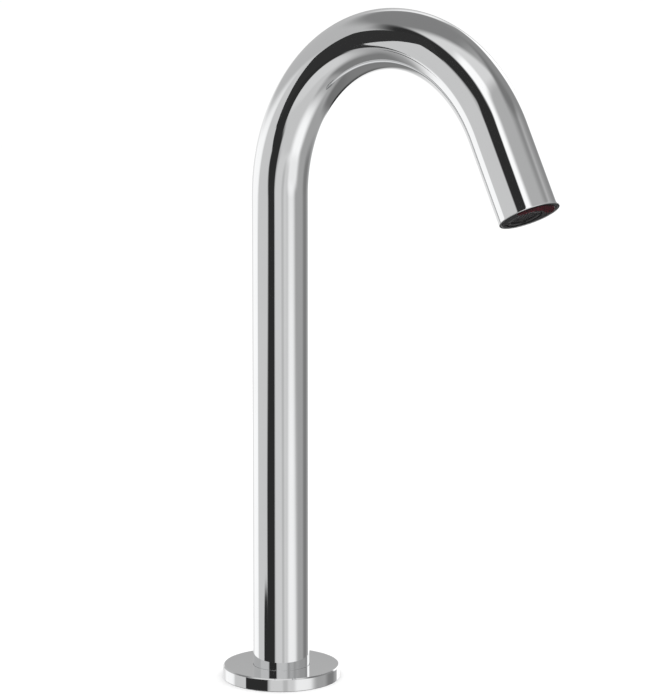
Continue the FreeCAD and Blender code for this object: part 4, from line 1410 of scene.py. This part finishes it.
class TAP_OT_aerator(bpy.types.Operator):
    """The aerator: its threaded housing with key notches, its honeycomb screen, its regulator and its seal"""
    bl_idname = "sensor_tap.aerator"
    bl_label = "Aerator"

    INSIDE = 6.9 * MM           # radius of what lies in the housing: the screen and the regulator
    SCREEN_LOW = 1.2 * MM       # the screen's outer face, above the outlet's

    def execute(self, context):
        scene = context.scene.sensor_tap
        sizes, look = scene.outlet, scene.finishes
        place = outlet_place(scene.spout)
        offset = sizes.aerator_offset
        self.housing(sizes, look, place, offset)
        self.screen(sizes, look, place, offset)
        self.regulator(look, place, offset)
        low, top, outside = 6.35 * MM, 7.45 * MM, 8.15 * MM
        mesh = washer("seat_washer", outside - 1.2 * MM, outside, low, top, 0.2 * MM, y=offset)
        add("seat_washer", mesh, ["aerator_seal"], "seal", rubber_finish(look), place)
        return {"FINISHED"}

    def regulator(self, look, place, offset):
        """A disc with a ring of four holes and a ring of nine."""
        low, top, hole = 4.2 * MM, 6.0 * MM, 1.3 * MM
        loops, profiles = [circle(self.INSIDE, offset, 72)], [soft_edges(low, top, 0.15 * MM)]
        for count, ring in ((4, self.INSIDE / 3), (9, self.INSIDE * 0.7)):
            for k in range(count):
                angle = TURN * k / count
                x, y = ring * math.cos(angle), offset + ring * math.sin(angle)
                loops.append(backwards(hexagon_loop(hole, x, y, angle, 0.15 * MM)))
                profiles.append(soft_edges(low, top, 0.1 * MM))
        mesh = prism("regulator", loops, profiles)
        add("regulator", mesh, ["flow_regulator"], "aerator", aerator_finish(look), place)

    def housing(self, sizes, look, place, offset):
        """A threaded ring with a lip under the screen and four notches for the key that turns it."""
        radius, inside, lip = 8.25 * MM, self.INSIDE + 0.1 * MM, 6.3 * MM
        low, top, count = 0.3 * MM, 6.3 * MM, 96
        pitch = sizes.thread_pitch
        root = radius - 0.5 * pitch
        chamfer = root - 0.1 * MM
        rows = thread_rows(radius, root, pitch, low, top, root - 0.05 * MM, count)
        mesh = threaded("housing", rows, [
            (inside, self.SCREEN_LOW, 0.05 * MM), (lip, self.SCREEN_LOW, 0.12 * MM), (lip, low, 0.22 * MM),
            (chamfer, low),
        ], [(chamfer, top), (inside, top, 0.15 * MM)], count)
        half, start, end, corner, depth = 1 * MM, 5 * MM, 7.5 * MM, 0.3 * MM, 0.9 * MM
        outline = rounded([(start, -half), (end, -half, corner), (end, half, corner), (start, half)])
        notches = []
        for k in range(4):
            angle = TURN * (k + 0.5) / 4
            loop = [
                (x * math.cos(angle) - y * math.sin(angle), x * math.sin(angle) + y * math.cos(angle))
                for x, y in outline
            ]
            notches.append(prism("notch", [loop], [[(0, low - 0.5 * MM), (0, low + depth)]]))
        mesh = carved(mesh, notches, sharp=28)
        mesh.transform(Matrix.Translation((0, offset, 0)))
        finish = aerator_finish(look)
        add("housing", mesh, ["aerator_housing"], "aerator", finish, place, even=False)

    def screen(self, sizes, look, place, offset):
        """A honeycomb of rounded cells in a raised rim."""
        radius, low = self.INSIDE, self.SCREEN_LOW
        rim, web_top, top, soft = 0.7 * MM, low + 1.8 * MM, low + 3 * MM, 0.12 * MM
        pitch, wall = sizes.cell_pitch, sizes.cell_wall
        cell, row_pitch = pitch - wall, pitch * math.sqrt(3) / 2
        furthest = radius - rim - wall / 2 - cell / math.sqrt(3)
        rows = int(furthest / row_pitch)
        loops = [circle(radius, offset)]
        profiles = [soft_edges(low, top, soft) + [(rim - soft, top), (rim, top - soft), (rim, web_top)]]
        for row in range(-rows, rows + 1):
            y = row * row_pitch
            shift = pitch / 2 * (row % 2)
            for column in range(-rows - 1, rows + 2):
                x = column * pitch + shift
                if math.hypot(x, y) <= furthest:
                    loops.append(backwards(hexagon_loop(cell, x, offset + y, math.pi / 6, 0.16 * MM)))
                    profiles.append(soft_edges(low, web_top, 0.1 * MM))
        mesh = prism("honeycomb", loops, profiles)
        add("honeycomb", mesh, ["aerator_screen"], "aerator", aerator_finish(look), place)


class TAP_OT_sensor(bpy.types.Operator):
    """The sensor: its dark red window, its board, its two diodes and the cap that closes its pocket"""
    bl_idname = "sensor_tap.sensor"
    bl_label = "Sensor"

    def execute(self, context):
        scene = context.scene.sensor_tap
        sizes, look = scene.outlet, scene.finishes
        place = outlet_place(scene.spout)
        offset = sizes.aerator_offset
        loop = crescent_loop(
            sizes.window_shell, sizes.window_well, sizes.window_front, sizes.window_corner, offset
        )
        mesh = prism("window", [loop], [soft_edges(-0.3 * MM, WINDOW_TOP, 0.2 * MM, 4)])
        add("window", mesh, ["sensor_window"], "tap", window_finish(look), place)
        loop = crescent_loop(BOARD_SHELL, BOARD_WELL, BOARD_FRONT, BOARD_CORNER, offset)
        mesh = prism("board", [loop], [soft_edges(BOARD_LOW, BOARD_TOP, 0.08 * MM)])
        add("board", mesh, ["sensor_board"], "tap", board_finish(look), place)
        for node, name in (("infrared_emitter", "emitter"), ("infrared_receiver", "receiver")):
            self.diode(node, name, look, place, offset)
        repaint("sensor_cap", head_finish(look))
        return {"FINISHED"}

    def diode(self, node, name, look, place, offset):
        """A round diode with a foot and a domed end, under the board."""
        low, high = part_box(node)
        middle = place.inverted() @ ((low + high) / 2)
        radius, foot, long, steps = 1.4 * MM, 1.55 * MM, 4.2 * MM, 8
        foot_low, dome = BOARD_LOW - 0.6 * MM, BOARD_LOW - long + radius
        outline = [(0, BOARD_LOW - long)]
        for k in range(1, steps + 1):
            angle = math.pi / 2 * k / steps
            outline.append((radius * math.sin(angle), dome - radius * math.cos(angle)))
        outline += [(radius, foot_low), (foot, foot_low, 0.1 * MM), (foot, BOARD_LOW), (0, BOARD_LOW)]
        mesh = turned(name, outline, count=40)
        mesh.transform(Matrix.Translation((middle.x, self.well_middle(middle.x, offset), 0)))
        add(name, mesh, [node], "tap", diode_finish(look), place)

    def well_middle(self, x, offset):
        """Half way between the two curved walls of the light well."""
        behind = offset - math.sqrt(LIGHT_WELL ** 2 - x ** 2)
        ahead = -math.sqrt(LIGHT_SHELL ** 2 - x ** 2)
        return (behind + ahead) / 2


class TAP_PT_panel(bpy.types.Panel):
    """Lists what builds the tap"""
    bl_idname = "TAP_PT_panel"
    bl_label = "Sensor tap"
    bl_space_type = "VIEW_3D"
    bl_region_type = "UI"
    bl_category = "Sensor tap"

    def draw(self, context):
        settings = context.scene.sensor_tap
        for step in STEPS:
            self.layout.operator(step.bl_idname)
        for label, group in (
            ("Spout", settings.spout), ("Outlet", settings.outlet), ("Mount", settings.mount),
            ("Finishes", settings.finishes), ("Studio", settings.studio),
        ):
            box = self.layout.box()
            box.label(text=label)
            for name in group.__annotations__:
                box.prop(group, name)


SETTINGS = (TapSpoutSizes, TapOutletSizes, TapMountSizes, TapFinishes, TapStudio, TapSettings)
STEPS = (
    TAP_OT_stage, TAP_OT_spout, TAP_OT_flange, TAP_OT_shank, TAP_OT_clamp, TAP_OT_inlet, TAP_OT_hose_and_lead,
    TAP_OT_head, TAP_OT_aerator, TAP_OT_sensor,
)


def register():
    """Makes the settings, the operators and the panel known."""
    for kind in SETTINGS + STEPS + (TAP_PT_panel,):
        bpy.utils.register_class(kind)
    bpy.types.Scene.sensor_tap = bpy.props.PointerProperty(type=TapSettings)


def unregister():
    """Takes them all away again."""
    del bpy.types.Scene.sensor_tap
    for kind in reversed(SETTINGS + STEPS + (TAP_PT_panel,)):
        bpy.utils.unregister_class(kind)


def main():
    """Builds the tap, piece by piece."""
    register()
    for step in STEPS:
        folder, name = step.bl_idname.split(".")
        getattr(getattr(bpy.ops, folder), name)()


if __name__ == "__main__":
    main()
